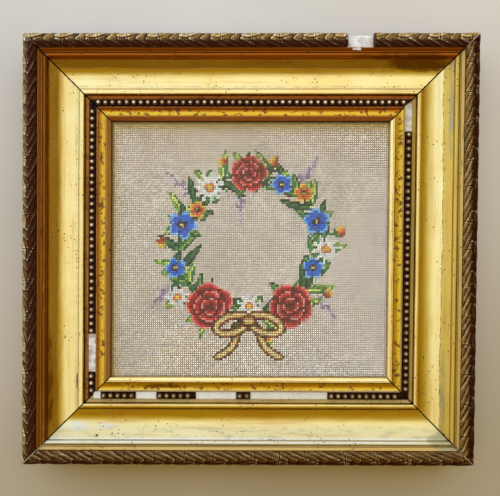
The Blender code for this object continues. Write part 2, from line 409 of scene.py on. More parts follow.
def bead_gilding():
    """Cast beads: dark brown, near black low down and on their bar as painted shade, and pale on top as
    painted highlights.
    """
    made = Finish("dark_gilt_bead")
    fine = made.noise(0.0012)
    patches = made.noise(0.011, 2.0, 0.6)
    high = made.vary(made.vary(made.tone("high"), fine, 0.25), patches, 0.25)
    # Near black low down: painted shade; pale on top: painted highlight
    body = made.span(high, 0.42, 0.88)
    highlight_cap = made.span(high, 0.86, 1.0)
    colour = made.mix(made.span(fine, 0.35, 0.7), daylight(34, 9, 4), daylight(56, 20, 8))
    colour = made.mix(body, colour, daylight(112, 74, 38))
    made.set(
        Base_Color=made.mix(highlight_cap, colour, daylight(226, 210, 166)),
        Metallic=made.plus(made.times(highlight_cap, 0.5), made.times(body, 0.4)),
        Roughness=made.span(highlight_cap, 0.0, 1.0, 0.50, 0.24),
        Specular_IOR_Level=made.span(body, 0.0, 1.0, 0.12, 0.5),
    )
    made.bump(fine, 0.00010, 0.4)
    return made.material


def plaster():
    """Bare gesso where ornament has fallen away, stained by old glue and bole."""
    made = Finish("bare_gesso")
    fine = made.noise(0.0009, 4.0, 0.7)
    patches = made.noise(0.007)
    soil_and_shade = made.times(made.span(patches, 0.45, 0.62), made.tone("soil_and_shade"))
    colour = made.mix(made.span(fine, 0.35, 0.9), daylight(252, 248, 240), daylight(222, 204, 182))
    colour = made.mix(soil_and_shade, colour, daylight(170, 124, 84))
    made.set(Base_Color=colour, Roughness=made.span(fine, 0.2, 0.8, 0.78, 0.95))
    made.bump(fine, 0.0003, 0.8)
    return made.material


def canvas_weave():
    """The bare canvas: pairs of threads over and under at the pitch of the stitches, dark as painted shade
    where it shows between them.
    """
    made = Finish("canvas_weave")
    point = made.node("SeparateXYZ", Vector=made.place())
    across = made.math("SINE", made.times(point.outputs["X"], 2 * math.pi / STITCH_ACROSS))
    up = made.math("SINE", made.times(point.outputs["Y"], 2 * math.pi / STITCH_UP))
    weave = made.math("MAXIMUM", across, up)
    fibres = made.noise(0.0005, 3.0, 0.7)
    stains = made.noise(0.05)
    # Dark between the threads and darkened overall: painted shade where the canvas shows between stitches
    colour = made.mix(made.span(weave, -0.6, 0.6), daylight(54, 42, 26), daylight(126, 108, 78))
    colour = made.mix(made.times(fibres, 0.3), colour, daylight(170, 152, 122))
    colour = made.mix(made.times(made.span(stains, 0.5, 0.8), 0.3), colour, daylight(146, 116, 80))
    made.set(Base_Color=colour, Roughness=made.span(fibres, 0.2, 0.8, 0.85, 0.98), Sheen_Weight=0.2)
    made.bump(made.plus(made.times(weave, 0.4), fibres), 0.0004, 0.8)
    return made.material


def thread(name, colour):
    """Wool of one colour, with fibres across each stitch, between a darkened and a lightened copy of the
    colour: painted shade and highlights over each stitch, and its tone changing from stitch to stitch.
    """
    made = Finish("wool_" + name)
    shade = tuple(level * 0.42 for level in colour[:3]) + (1.0,)
    lift = min(1.75, 0.96 / max(colour[:3]))
    light = tuple(level * lift for level in colour[:3]) + (1.0,)
    fibres = made.noise(0.00042, 3.0, 0.7, made.place((1, 1, 3)))
    fading = made.noise(0.03, 2.0, 0.5)
    level = made.vary(made.vary(made.tone("shade"), fibres, 0.7), fading, 0.25)
    made.set(
        Base_Color=made.mix(made.span(level, 0.0, 1.0), shade, light),
        Roughness=made.span(fibres, 0.2, 0.8, 0.8, 0.95),
        Sheen_Weight=0.10,
        Sheen_Roughness=0.5,
    )
    made.bump(fibres, 0.00018, 0.7)
    return made.material


STITCH_ACROSS = 0.001873
STITCH_UP = 0.002107
CLOTH_COLUMNS = 140
CLOTH_ROWS = 115

# Threads: name, and colour as seen in daylight, red green blue out of 255
THREADS = (
    ("ground", (226, 216, 198)),
    ("leaf_black", (22, 38, 28)),
    ("leaf_dark", (22, 72, 44)),
    ("leaf_green", (52, 112, 58)),
    ("leaf_bright", (116, 150, 66)),
    ("leaf_yellow", (188, 196, 96)),
    ("rose_dark", (84, 10, 16)),
    ("rose_red", (146, 16, 20)),
    ("rose_bright", (190, 40, 32)),
    ("rose_pink", (226, 140, 130)),
    ("blue_dark", (22, 40, 104)),
    ("blue", (34, 92, 176)),
    ("blue_pale", (128, 182, 226)),
    ("white", (240, 238, 228)),
    ("grey", (150, 154, 148)),
    ("orange_dark", (150, 62, 24)),
    ("orange", (206, 110, 42)),
    ("yellow", (230, 190, 84)),
    ("brown_dark", (58, 26, 12)),
    ("brown", (120, 68, 24)),
    ("gold", (186, 140, 60)),
    ("cream", (238, 220, 158)),
    ("mauve", (142, 122, 146)),
    ("mauve_pale", (188, 176, 186)),
)
THREAD_NUMBERS = {name: number for number, (name, _) in enumerate(THREADS)}

# Middle and half sizes of the wreath's ring
WREATH_MIDDLE = (0.0, 0.003)
WREATH_ACROSS = 0.066
WREATH_UP = 0.068

# Rings of a rose: outer reach, inner reach, petals, turn of the ring in degrees, and darkest level
ROSE_RINGS = (
    (1.0, 0.52, 5, 0, 0.12),
    (0.66, 0.26, 4, 40, 0.05),
    (0.36, 0.0, 3, 10, 0.0),
)
# Half widths of a daisy's petal, a sprig and the ribbon, with the pitch, size and distance of a sprig's bells
DAISY_PETAL = 0.0022
SPRIG_HALF = 0.0009
RIBBON_HALF = 0.0042
BELL_PITCH = 0.0052
BELL_SIZE = 0.0019
BELL_ASIDE = 0.0034
# Pairs of leaves round the ring
LEAF_PAIRS = 26


def across_petal(angle, petals):
    """Where an angle round a flower lies across its petal, from -1 to 1."""
    return angle % (360 / petals) / (360 / petals) * 2 - 1


class Chart:
    """The thread number of each stitch, drawn in shapes measured in metres from the cloth's middle."""

    def __init__(self):
        columns = (np.arange(CLOTH_COLUMNS) - (CLOTH_COLUMNS - 1) / 2) * STITCH_ACROSS
        rows = (np.arange(CLOTH_ROWS) - (CLOTH_ROWS - 1) / 2) * STITCH_UP
        self.x, self.y = np.meshgrid(columns, rows)
        self.threads = np.zeros(self.x.shape, int)

    def paint(self, where, thread):
        self.threads[where] = THREAD_NUMBERS[thread]

    def shade(self, where, level, threads):
        """Works a patch in several threads, from the first at level 0 to the last at level 1."""
        step = np.clip((level * len(threads)).astype(int), 0, len(threads) - 1)
        for number, thread in enumerate(threads):
            self.paint(where & (step == number), thread)

    def along_axis(self, start, angle):
        """Distances along and to the left of a line from start, at an angle in degrees."""
        turn = math.radians(angle)
        dx, dy = self.x - start[0], self.y - start[1]
        return dx * math.cos(turn) + dy * math.sin(turn), dy * math.cos(turn) - dx * math.sin(turn)

    def lengths(self, points):
        """For each straight length through some points: its span, and distances along and aside of it."""
        for first, last in zip(points, points[1:]):
            angle = math.degrees(math.atan2(last[1] - first[1], last[0] - first[0]))
            yield math.dist(first, last), *self.along_axis(first, angle)

    def growth(self, start, angle, length, bend=0.0):
        """Distance and share along a curved shape, distance aside of it, and what is between its ends."""
        ahead, aside = self.along_axis(start, angle)
        share = np.clip(ahead / length, 0, 1)
        return ahead, share, aside - bend * length * share**2, (ahead > 0) & (ahead < length)

    def around(self, middle, turn):
        """Distance from a middle, and angle round it in degrees, turned."""
        dx, dy = self.x - middle[0], self.y - middle[1]
        return np.hypot(dx, dy), np.degrees(np.arctan2(dy, dx)) + turn

    def leaf(self, start, angle, length, width, threads, bend):
        """A pointed leaf: its vein, its lit half and its dark half, curved by bend times its length."""
        _, share, aside, between = self.growth(start, angle, length, bend)
        reach = width * (np.sin(math.pi * share**0.8)) ** 0.75
        inside = between & (np.abs(aside) < reach)
        vein, lit, dark = threads
        self.paint(inside & (aside >= 0), lit)
        self.paint(inside & (aside < 0), dark)
        self.paint(inside & (np.abs(aside + 0.1 * width) < STITCH_ACROSS * 0.5) & (share < 0.85), vein)

    def stem(self, points, thread, width=0.0011):
        """A stem through some points."""
        for span, ahead, aside in self.lengths(points):
            self.paint((ahead > -0.0005) & (ahead < span + 0.0005) & (np.abs(aside) < width), thread)

    def rose(self, middle, size, threads, turn):
        """An open rose: rings of cupped petals, each dark at its foot and light at its rim."""
        far, angle = self.around(middle, turn)
        far = far / size
        for outer, inner, petals, ring_turn, base in ROSE_RINGS:
            lobe = across_petal(angle + ring_turn, petals)
            edge = outer * (1 - 0.16 * np.abs(lobe) ** 2.5)
            inside = far < edge
            level = base + (1 - base) * np.clip((far - inner) / (edge - inner + 1e-6), 0, 1) ** 1.3
            level = level - 0.55 * (np.abs(lobe) > 0.86) - 0.12 * lobe
            self.shade(inside & (far >= inner * 0.9), np.clip(level, 0, 0.999), threads)
        self.paint(far < 0.11, threads[0])

    def blossom(self, middle, size, petals, threads, heart, turn):
        """A flower of round petals, dark towards the heart and between petals."""
        far, angle = self.around(middle, turn)
        far = far / size
        lobe = across_petal(angle, petals)
        edge = 1 - 0.38 * np.abs(lobe) ** 2.2
        inside = far < edge
        level = np.clip(far / edge, 0, 1) ** 1.2 - 0.35 * (np.abs(lobe) > 0.74) * (far > 0.3)
        self.shade(inside, np.clip(level, 0, 0.999), threads)
        self.paint(far < 0.26, heart[0])
        self.paint(far < 0.14, heart[1])

    def daisy(self, middle, size, petals, threads, heart, turn):
        """A flower of narrow petals that stand apart."""
        far, angle = self.around(middle, turn)
        lobe = (angle % (360 / petals) - 180 / petals) * math.pi / 180
        aside = np.abs(lobe) * far
        share = np.clip(far / size, 0, 1)
        reach = DAISY_PETAL * np.sin(math.pi * (0.18 + 0.74 * share)) ** 0.6
        inside = (far < size) & (aside < reach)
        self.shade(inside, np.clip(share * 0.9 + 0.12 * (lobe > 0), 0, 0.999), threads)
        self.paint(far < 0.30 * size, heart[0])
        self.paint(far < 0.17 * size, heart[1])

    def bud(self, start, angle, length, threads):
        """A closed bud on a green cup."""
        _, share, aside, between = self.growth(start, angle, length)
        reach = 0.42 * length * np.sin(math.pi * (0.12 + 0.82 * share)) ** 0.8
        inside = between & (np.abs(aside) < reach)
        self.shade(inside, np.clip(0.5 + 0.5 * aside / (reach + 1e-6), 0, 0.999), threads)
        self.paint(inside & (share < 0.28), "leaf_green")

    def sprig(self, start, angle, length, bend, threads):
        """A thin sprig with small bells either side."""
        ahead, _, aside, between = self.growth(start, angle, length, bend)
        self.paint(between & (np.abs(aside) < SPRIG_HALF), threads[0])
        count = int(length / BELL_PITCH)
        for number in range(1, count + 1):
            at = number / count
            for way in (-1, 1):
                far = np.hypot(ahead - at * length, aside - way * BELL_ASIDE * (1.25 - at))
                self.paint(far < BELL_SIZE * (1.2 - 0.5 * at), threads[(number + (way > 0)) % 2 + 1])

    def ribbon(self, points, width, threads):
        """A folded ribbon through some points, light along its middle."""
        nearest = np.full(self.x.shape, 1.0)
        for span, ahead, aside in self.lengths(points):
            past = np.maximum(np.maximum(-ahead, ahead - span), 0)
            nearest = np.minimum(nearest, np.hypot(past, aside) / width)
        self.shade(nearest < 1, np.clip(1 - nearest, 0, 0.999), threads)


def ring_point(angle, out=0.0):
    """A point of the wreath's ring at an angle in degrees, moved out by some metres."""
    turn = math.radians(angle)
    return (
        WREATH_MIDDLE[0] + (WREATH_ACROSS + out) * math.cos(turn),
        WREATH_MIDDLE[1] + (WREATH_UP + out) * math.sin(turn),
    )


GREENS = (
    ("leaf_yellow", "leaf_bright", "leaf_green"),
    ("leaf_bright", "leaf_green", "leaf_dark"),
    ("leaf_green", "leaf_dark", "leaf_black"),
)
REDS = ("rose_dark", "rose_dark", "rose_red", "rose_bright", "rose_pink")
BLUES = ("blue_dark", "blue", "blue", "blue_pale")
WHITES = ("grey", "white", "white")
ORANGES = ("orange_dark", "orange", "yellow")
BROWNS = ("brown_dark", "brown", "gold", "cream")
MAUVES = ("mauve", "mauve", "mauve_pale")

# Flowers of the wreath: kind, angle round the ring, metres out from it, size, petals, turn
FLOWERS = (
    ("rose", 236, 0.000, 0.0225, 0, 12),
    ("rose", 306, 0.001, 0.0215, 0, 60),
    ("rose", 91, 0.000, 0.0175, 0, 30),
    ("blue", 20, 0.001, 0.0130, 5, 10),
    ("blue", 163, 0.000, 0.0140, 5, 40),
    ("blue", 196, 0.006, 0.0100, 5, 0),
    ("blue", 342, -0.003, 0.0105, 5, 22),
    ("blue", 62, -0.002, 0.0105, 5, 5),
    ("daisy", 125, 0.000, 0.0150, 11, 0),
    ("daisy", 358, 0.006, 0.0135, 10, 8),
    ("daisy", 270, -0.012, 0.0120, 10, 0),
    ("daisy", 215, 0.016, 0.0110, 9, 0),
    ("bright", 44, 0.004, 0.0095, 5, 12),
    ("bright", 146, -0.007, 0.0085, 5, 30),
    ("bright", 281, 0.018, 0.0080, 5, 0),
)

# Buds and sprigs that stand out from the ring: kind, angle round the ring, metres out, heading, length, bend
SPRAYS = (
    ("bud", 75, 0.008, 62, 0.012, 0),
    ("bud", 107, 0.009, 122, 0.011, 0),
    ("bud", 178, 0.010, 172, 0.012, 0),
    ("bud", 8, 0.014, 24, 0.012, 0),
    ("bud", 330, 0.013, 330, 0.011, 0),
    ("sprig", 52, 0.010, 40, 0.030, 0.2),
    ("sprig", 138, 0.010, 150, 0.030, -0.2),
    ("sprig", 208, 0.018, 205, 0.026, 0.3),
    ("sprig", 322, 0.016, 334, 0.026, -0.3),
    ("sprig", 100, -0.014, 262, 0.024, 0.2),
)


def wreath():
    """A generic wreath of garden flowers, tied with a ribbon bow."""
    chart = Chart()
    for kind, angle, out, heading, length, bend in SPRAYS:
        if kind == "sprig":
            chart.sprig(ring_point(angle, out - 0.004), heading, length, bend, MAUVES)
    ring = [ring_point(angle) for angle in range(0, 361, 6)]
    chart.stem(ring, "leaf_dark", 0.0016)
    for number in range(LEAF_PAIRS):
        angle = number * 360 / LEAF_PAIRS + 4
        upward = 1 if angle < 90 or angle > 270 else -1
        heading = angle + 90 * upward
        for way in (-1, 1):
            greens = GREENS[(number + (way > 0)) % 3]
            tilt = way * (34 + 8 * (number % 3)) * upward
            length = 0.021 + 0.004 * (number % 3)
            chart.leaf(ring_point(angle), heading - tilt, length, 0.0040, greens, 0.12 * way)
    for kind, angle, out, heading, length, _ in SPRAYS:
        if kind == "bud":
            foot = ring_point(angle, out)
            chart.stem((ring_point(angle), foot), "leaf_green")
            chart.bud(foot, heading, length, ORANGES)
    for _, angle, out, size, _, turn in FLOWERS:
        middle = ring_point(angle, out)
        for number in range(3):
            chart.leaf(middle, angle + number * 120 + turn, size * 1.45, 0.0046, GREENS[number], 0.1)
    for kind, angle, out, size, petals, turn in FLOWERS:
        middle = ring_point(angle, out)
        if kind == "rose":
            chart.rose(middle, size, REDS, turn)
        elif kind == "daisy":
            chart.daisy(middle, size, petals, WHITES, ("orange", "yellow"), turn)
        elif kind == "blue":
            chart.blossom(middle, size, petals, BLUES, ("leaf_black", "yellow"), turn)
        else:
            chart.blossom(middle, size, petals, ORANGES, ("brown_dark", "leaf_bright"), turn)
    bow(chart)
    return chart.threads


def bow(chart):
    """The bow at the wreath's foot: two loops, two tails and a knot."""
    knot = ring_point(270, 0.002)
    for way in (-1, 1):
        tail, loop = [], []
        for t in np.linspace(0, 1, 9):
            x = knot[0] + way * 0.030 * t**1.4 + way * 0.004 * math.sin(6 * t)
            tail.append((x, knot[1] - 0.034 * t))
        for t in np.linspace(0, 1, 15):
            turn = 2 * math.pi * t
            loop.append((
                knot[0] + way * 0.0155 * (1 - math.cos(turn)),
                knot[1] + 0.0085 * math.sin(turn) - 0.007 * (1 - math.cos(turn)) / 2,
            ))
        chart.ribbon(tail, RIBBON_HALF, BROWNS)
        chart.ribbon(loop, RIBBON_HALF, BROWNS)
    chart.ribbon([(knot[0] - 0.002, knot[1]), (knot[0] + 0.002, knot[1])], 0.0058, BROWNS)


# Outer moulding's corners in from the outer edge and up from the back, with each corner's rounding
MOULDING_OUTSIDE = (
    (0.0040, 0.0000, 0.0006),
    (0.0008, 0.0344, 0.0008),
    (0.0008, 0.0360, 0.0004),
    (0.0116, 0.0360, 0.0000),
    (0.0116, 0.0378, 0.0003),
    (0.0122, 0.0378, 0.0003),
)

# Slope with two reeds, each by its middle down the slope, half width and rise, and then the cove
SLOPE_TOP = (0.0122, 0.0378)
QUIRK_DEPTH = 0.0003
QUIRK_WIDTH = 0.0002
REEDS = ((0.0035, 0.0006, 0.0006), (0.0070, 0.0024, 0.0013))
COVE_MIDDLE = (0.0385, 0.0374)
COVE_HALF = (0.0185, 0.0170)
COVE_ANGLES = (224.48, 284.72)
LIP_MIDDLE = (0.0464, 0.0213)
LIP_HALF = (0.0030, 0.0015)
MOULDING_LIP = (
    (0.0481, 0.02245, 0.0004),
    (0.0486, 0.0218, 0.0003),
    (0.0486, 0.0140, 0.0000),
    (0.0400, 0.0140, 0.0000),
    (0.0400, 0.0000, 0.0005),
)

# Slip's corners, from its tongue over the bead channel and the mottled band to the sight edge
SLIP_OUTSIDE = (
    (0.0403, 0.0040, 0.0004),
    (0.0403, 0.0137, 0.0000),
    (0.0491, 0.0137, 0.0000),
    (0.0491, 0.0186, 0.0003),
    (0.0505, 0.0187, 0.0002),
    (0.0507, 0.0184, 0.0001),
    (0.0521, 0.0186, 0.0003),
    (0.0521, 0.0174, 0.0001),
    (0.0593, 0.0174, 0.0001),
    (0.0593, 0.0194, 0.0003),
    (0.0606, 0.0194, 0.0003),
    (0.0606, 0.0190, 0.0001),
    (0.0616, 0.0184, 0.0005),
    (0.0628, 0.0180, 0.0006),
    (0.0642, 0.0178, 0.0006),
    (0.0658, 0.0178, 0.0006),
    (0.0672, 0.0179, 0.0000),
)
ROLL_MIDDLE = (0.0681, 0.0176)
ROLL_HALF = (0.0009, 0.0007)
SLIP_INSIDE = (
    (0.0690, 0.0168, 0.0001),
    (0.0713, 0.0150, 0.0005),
    (0.0719, 0.0138, 0.0002),
    (0.0720, 0.0130, 0.0002),
    (0.0720, 0.0120, 0.0003),
    (0.0660, 0.0120, 0.0000),
    (0.0660, 0.0040, 0.0004),
)

# Zones of the gilding: tone, distances in from the outer edge, and the tone's value at each
ZONES = (
    ("dull", (0.0486, 0.0490, 0.0606, 0.0616), (0.0, 1.0, 1.0, 0.2)),
    (
        "brown",
        (0.0145, 0.0160, 0.0395, 0.0425, 0.0430, 0.0490, 0.0492, 0.0606, 0.0610),
        (0.95, 0.0, 0.0, 0.08, 0.0, 0.0, 0.4, 0.4, 0.0),
    ),
    # Red-brown, put only on the top and left sides: painted shade
    (
        "redder",
        (0.0145, 0.0194, 0.0204, 0.0490, 0.0492, 0.0606, 0.0628, 0.0642, 0.0672, 0.0676),
        (0.95, 0.95, 0.0, 0.0, 0.95, 0.95, 0.95, 0.0, 0.0, 0.95),
    ),
    ("amber", (0.0606, 0.0612, 0.0674, 0.0680), (0.0, 1.0, 1.0, 0.0)),
    # Dirt streaks and mottle on the ledge, made strongest on the top and left as painted shade
    ("matte", (0.0486, 0.0490, 0.0606, 0.0610), (0.0, 0.7, 0.7, 0.0)),
    ("dusty", (0.0486, 0.0490, 0.0606, 0.0610), (0.0, 0.65, 0.65, 0.0)),
    ("dusty_edge", (0.0676, 0.0690), (0.0, 0.55)),
    # Pale dull leaf where the cove starts, on the bottom only: painted reflection of the light
    ("pale_cove", (0.0256, 0.0340), (1.0, 0.0)),
    # A dark band at the sight edge, kept on the top and left only: painted shadow
    ("sight", (0.0706, 0.0716), (0.0, 1.0)),
)
# Where grime stays in the quirks, as a share of what a quirk of its kind would keep
GRIME_KEPT = (
    (0.0185, 0.0190, 0.0210, 0.0400, 0.0425, 0.0462, 0.0480),
    (0.7, 0.2, 0.6, 0.6, 0.05, 0.05, 0.65),
)
# Stains and rubs, and two bands of painted light and shade along the bottom rail: side, middle along and
# inward, half sizes, and how brown, how silvery and how green-grey
STAINS_AND_BANDS = (
    ("top", -0.151, 0.0220, 0.034, 0.0080, 0.85, 0.0, 0.0),
    ("top", -0.118, 0.0178, 0.030, 0.0030, 0.70, 0.0, 0.0),
    ("top", 0.066, 0.0185, 0.030, 0.0022, 0.45, 0.0, 0.0),
    ("bottom", -0.150, 0.0290, 0.032, 0.0050, 0.0, 0.55, 0.0),
    ("bottom", 0.0, 0.0240, 0.600, 0.0060, 0.0, 0.0, 0.28),
    # A silvery band the length of the bottom rail: painted reflection of the light
    ("bottom", 0.0, 0.0186, 0.600, 0.0024, 0.0, 0.85, 0.0),
    # A brown band the length of the bottom rail's lip: painted shade
    ("bottom", 0.0, 0.0445, 0.600, 0.0011, 1.0, 0.0, 0.0),
    ("bottom", 0.182, 0.0180, 0.024, 0.0090, 0.0, 0.2, 0.85),
    ("bottom", -0.080, 0.0640, 0.024, 0.0024, 0.80, 0.0, 0.0),
    ("right", 0.130, 0.0205, 0.060, 0.0022, 0.0, 0.3, 0.70),
    ("right", -0.130, 0.0240, 0.050, 0.0024, 0.0, 0.0, 0.70),
    ("left", 0.0, 0.0176, 0.600, 0.0026, 0.9, 0.0, 0.0),
    ("left", 0.120, 0.0200, 0.060, 0.0040, 0.60, 0.0, 0.0),
    ("left", 0.122, 0.0430, 0.010, 0.0016, 0.85, 0.0, 0.0),
)
# How tan and how red the gilding of each side is, as painted light and shade: the bottom, turned to the
# light, stays pale, and the top and left, turned from it, go red
SIDE_LIGHT_TINTS = {"bottom": (0.0, 0.0), "right": (0.90, 0.0), "top": (1.0, 1.0), "left": (0.90, 0.85)}

# Spacing of points along a rail, and closer rows near each mitre, where it is chipped
RAIL_STEP = 0.0035
MITRE_ROWS = (0.0, 0.00035, 0.0006, 0.0011, 0.0019, 0.0030)
MITRE_GRIME = 0.0004
# Spacing of points round a profile, on the part that is seen from above: past this far in and this high
PROFILE_STEP = 0.0008
SEEN_INWARD = 0.0115
SEEN_HEIGHT = 0.0145
# Reach of the rubbing round an arris and of the dirt round a quirk
ARRIS_REACH = 0.0005
QUIRK_REACH = 0.0004
# Chips at the mitres and unevenness, both only above the rise between these heights
CHIP_DEPTH = 0.0007
CHIP_REACH = 0.0022
UNEVENNESS = 0.00010
UPPER_HEIGHTS = (0.0165, 0.0180)
# Outer walls: bare wood up to this height, within these distances of the outline across and up
WALL_TOP = 0.0335
WALL_ACROSS = 0.0060
WALL_UP = 0.0045


def arc(middle, half, first, last, steps):
    """Corners without rounding along part of an ellipse, with 0 degrees towards the frame's inside."""
    angles = np.radians(np.linspace(first, last, steps + 1))
    return [(middle[0] + half[0] * math.cos(a), middle[1] + half[1] * math.sin(a), 0.0) for a in angles]


def reeded_slope(bottom):
    """Corners down the straight slope to a point, over each reed in its quirk."""
    top = np.array(SLOPE_TOP)
    down = np.array(bottom) - top
    down = down / np.linalg.norm(down)
    out = np.array((-down[1], down[0]))
    corners = []
    for middle, half, rise in REEDS:
        reed = [corner[:2] for corner in arc((middle, -QUIRK_DEPTH), (half, rise), 180, 0, 8)]
        for far, depth in [(middle - half - QUIRK_WIDTH, 0), *reed, (middle + half + QUIRK_WIDTH, 0)]:
            corners.append((*(top + down * far + out * depth), 0.0))
    return corners


def moulding_corners():
    cove = arc(COVE_MIDDLE, COVE_HALF, *COVE_ANGLES, 26)
    lip = arc(LIP_MIDDLE, LIP_HALF, 180, 90, 8)
    return [*MOULDING_OUTSIDE, *reeded_slope(cove[0][:2]), *cove, *lip, *MOULDING_LIP]


def slip_corners():
    return [*SLIP_OUTSIDE, *arc(ROLL_MIDDLE, ROLL_HALF, 180, 0, 8), *SLIP_INSIDE]


def round_profile(corners):
    """A closed outline through the corners, rounded and with long stretches split."""
    points = []
    count = len(corners)
    for k, (inward, height, rounding) in enumerate(corners):
        corner = np.array((inward, height))
        if rounding == 0:
            points.append(corner)
            continue
        ends = []
        for other in (corners[k - 1], corners[(k + 1) % count]):
            away = np.array(other[:2]) - corner
            ends.append(corner + away * min(rounding / np.linalg.norm(away), 0.45))
        for t in (0, 0.25, 0.5, 0.75, 1):
            points.append(ends[0] * (1 - t) ** 2 + corner * 2 * t * (1 - t) + ends[1] * t**2)
    outline = []
    for k, point in enumerate(points):
        after = points[(k + 1) % len(points)]
        seen = min(point[1], after[1]) > SEEN_HEIGHT and point[0] > SEEN_INWARD
        parts = max(1, math.ceil(np.linalg.norm(after - point) / PROFILE_STEP)) if seen else 1
        outline += [point + (after - point) * part / parts for part in range(parts)]
    return np.array(outline)


def profile_tones(outline):
    """How much each point of an outline is an arris that hands rub, and a quirk that keeps dirt."""
    before, after = np.roll(outline, 1, axis=0), np.roll(outline, -1, axis=0)
    one, two = outline - before, after - outline
    turn = np.arctan2(one[:, 0] * two[:, 1] - one[:, 1] * two[:, 0], (one * two).sum(axis=1))
    turn = turn * np.sign(-turn.sum())
    steps = np.linalg.norm(one, axis=1)
    at = np.cumsum(steps)
    gap = np.abs(at[:, None] - at[None, :])
    gap = np.minimum(gap, steps.sum() - gap)
    arris = (np.exp(-((gap / ARRIS_REACH) ** 2)) * np.clip(-turn, 0, None)[None]).sum(axis=1)
    quirk = (np.exp(-((gap / QUIRK_REACH) ** 2)) * np.clip(turn, 0, None)[None]).sum(axis=1)
    return np.clip(arris / 1.1, 0, 1), np.clip(quirk / 1.3, 0, 1)


def length_rows(reach):
    """Shares from -1 to 1 of a side's half length, closer together near both ends."""
    near = 1 - np.array(MITRE_ROWS) / reach
    count = math.ceil(2 * reach * near[-1] / RAIL_STEP)
    middle = np.linspace(-near[-1], near[-1], count + 1)[1:-1]
    return np.concatenate([-near, middle, near[::-1]])


def mitre_reach(side, inward):
    """How far a side's own length runs to its mitre at a distance in from the outer edge."""
    return half_length(side) - MITRE_CRACK / math.sqrt(2) - inward


def stain_and_band_tones(side, along, inward):
    """How brown, silvery and green-grey each point of a length is, from 0 to 1."""
    tones = {name: np.zeros_like(along) for name in ("stained", "silvered", "greyed")}
    for stained_side, middle, depth, half_along, half_inward, *amounts in STAINS_AND_BANDS:
        if stained_side != side:
            continue
        far = np.hypot((along - middle) / half_along, (inward - depth) / half_inward)
        for name, amount in zip(tones, amounts):
            tones[name] = np.maximum(tones[name], amount * (1 - ease(far, 0.55, 1.15)))
    return tones


def moulding_length(replaced, side, corners, material, back):
    """One mitred length, a little uneven as it was made by hand, with its mitre edges chipped."""
    outline = round_profile(corners)
    arris, quirk = profile_tones(outline)
    shares = length_rows(half_length(side))
    inward, height = (np.tile(outline[:, k], (len(shares), 1)) for k in (0, 1))
    seed = SIDES.index(side)
    tan, red = SIDE_LIGHT_TINTS[side]
    along = shares[:, None] * mitre_reach(side, inward)
    upper = ease(height, *UPPER_HEIGHTS)
    height = height + UNEVENNESS * waves((along, inward * 1.7, height), 0.055, seed + 11) * upper
    edge = np.abs(shares)[:, None] * half_length(side)
    near_mitre = ease(edge, half_length(side) - CHIP_REACH, half_length(side))
    chip = np.clip(waves((inward * 6, height * 6, along * 2), 0.011, seed + 31) - 0.25, 0, 1)
    broken = near_mitre * chip * upper
    along = along - np.sign(along) * CHIP_DEPTH * broken
    height = height - CHIP_DEPTH * 0.8 * broken
    tones = {
        "along": along,
        "inward": inward,
        "side": np.full_like(along, seed),
        "wear": np.tile(arris, (len(shares), 1)),
        "grime": np.tile(quirk, (len(shares), 1)),
        "chip": np.clip(broken * 2.2, 0, 1),
        "mitre": np.broadcast_to(edge > half_length(side) - MITRE_GRIME, along.shape),
        "tan": np.full_like(along, tan),
        "red": np.full_like(along, red),
    }
    for zone, places, values in ZONES:
        tones[zone] = np.tile(np.interp(outline[:, 0], places, values), (len(shares), 1))
    # Dirt in the quirks, and the painted shadow at the sight edge of the top and left
    tones["grime"] = np.maximum(tones["grime"] * np.interp(inward, *GRIME_KEPT), tones.pop("sight") * red)
    tones.update(stain_and_band_tones(side, along, inward))
    # The ledge's dirt is strongest on the top and left: painted shade under the lip
    tones["matte"] = tones["matte"] * (0.15 + 0.85 * red)
    tones["dusty"] = np.maximum(tones["dusty"] * (1 - 0.75 * red), tones.pop("dusty_edge") * red)
    # On the bottom, pale dull leaf where the cove starts: painted reflection
    tones["dull"] = np.maximum(tones["dull"], tones.pop("pale_cove") * (tan == 0))
    # Red-brown zones on the top and left: painted shade
    tones["brown"] = np.maximum(tones["brown"], tones.pop("redder") * red)
    points = place(side, along, inward, height)
    made = make_object("visual_" + replaced, points, None, material, tones, 32)
    made.data.materials.append(back)
    for face in made.data.polygons:
        if face.normal.z < -0.5 or (face.normal.z < 0.3 and on_outer_wall(face.center)):
            face.material_index = 1
    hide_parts(replaced)
    return made


def on_outer_wall(point):
    """Whether a point is on the bare part of the frame's outer wall."""
    across, up = OUTER_WIDTH / 2 - abs(point.x), OUTER_HEIGHT / 2 - abs(point.y)
    return point.z < WALL_TOP and (across < WALL_ACROSS or up < WALL_UP)


# Leaf ornament: a half round on a low edge, and the relief of the leaves over it
LEAF_BASE = 0.0363
LEAF_WIDTH = 0.0113
LEAF_EDGE = 0.0015
LEAF_CROWN = 0.0440
LEAF_RELIEF = 0.0012
LEAF_PITCH = 0.0091
LEAF_SWEEP = (0.0070, 0.0165)
LEAF_CUT = 0.00028
LEAF_VEIN_PITCH = 0.0019
LEAF_DETAIL = 0.00022
LEAF_LOOSE = 0.0016
LEAF_WARP = 0.0004
LEAF_FADE = 0.0012
LEAF_STEP = 0.00043
LEAF_COLUMNS = 33
# A broken end: how ragged it is, and how far in its bare stuff shows
BREAK_RAGGED = 0.0011
BREAK_BARE = (0.0003, 0.0010)
# Painted shade on the half of each side's leaf ornament turned from the light: which way across it lies,
# where from -1 to 1 it begins and is full, and its least
LEAF_SHADE_BY_SIDE = {
    "bottom": (-1, -0.10, 0.30, 0.42),
    "right": (-1, -0.35, 0.05, 0.10),
    "top": (1, -0.10, 0.25, 0.0),
    "left": (1, -0.50, 0.15, 0.0),
}
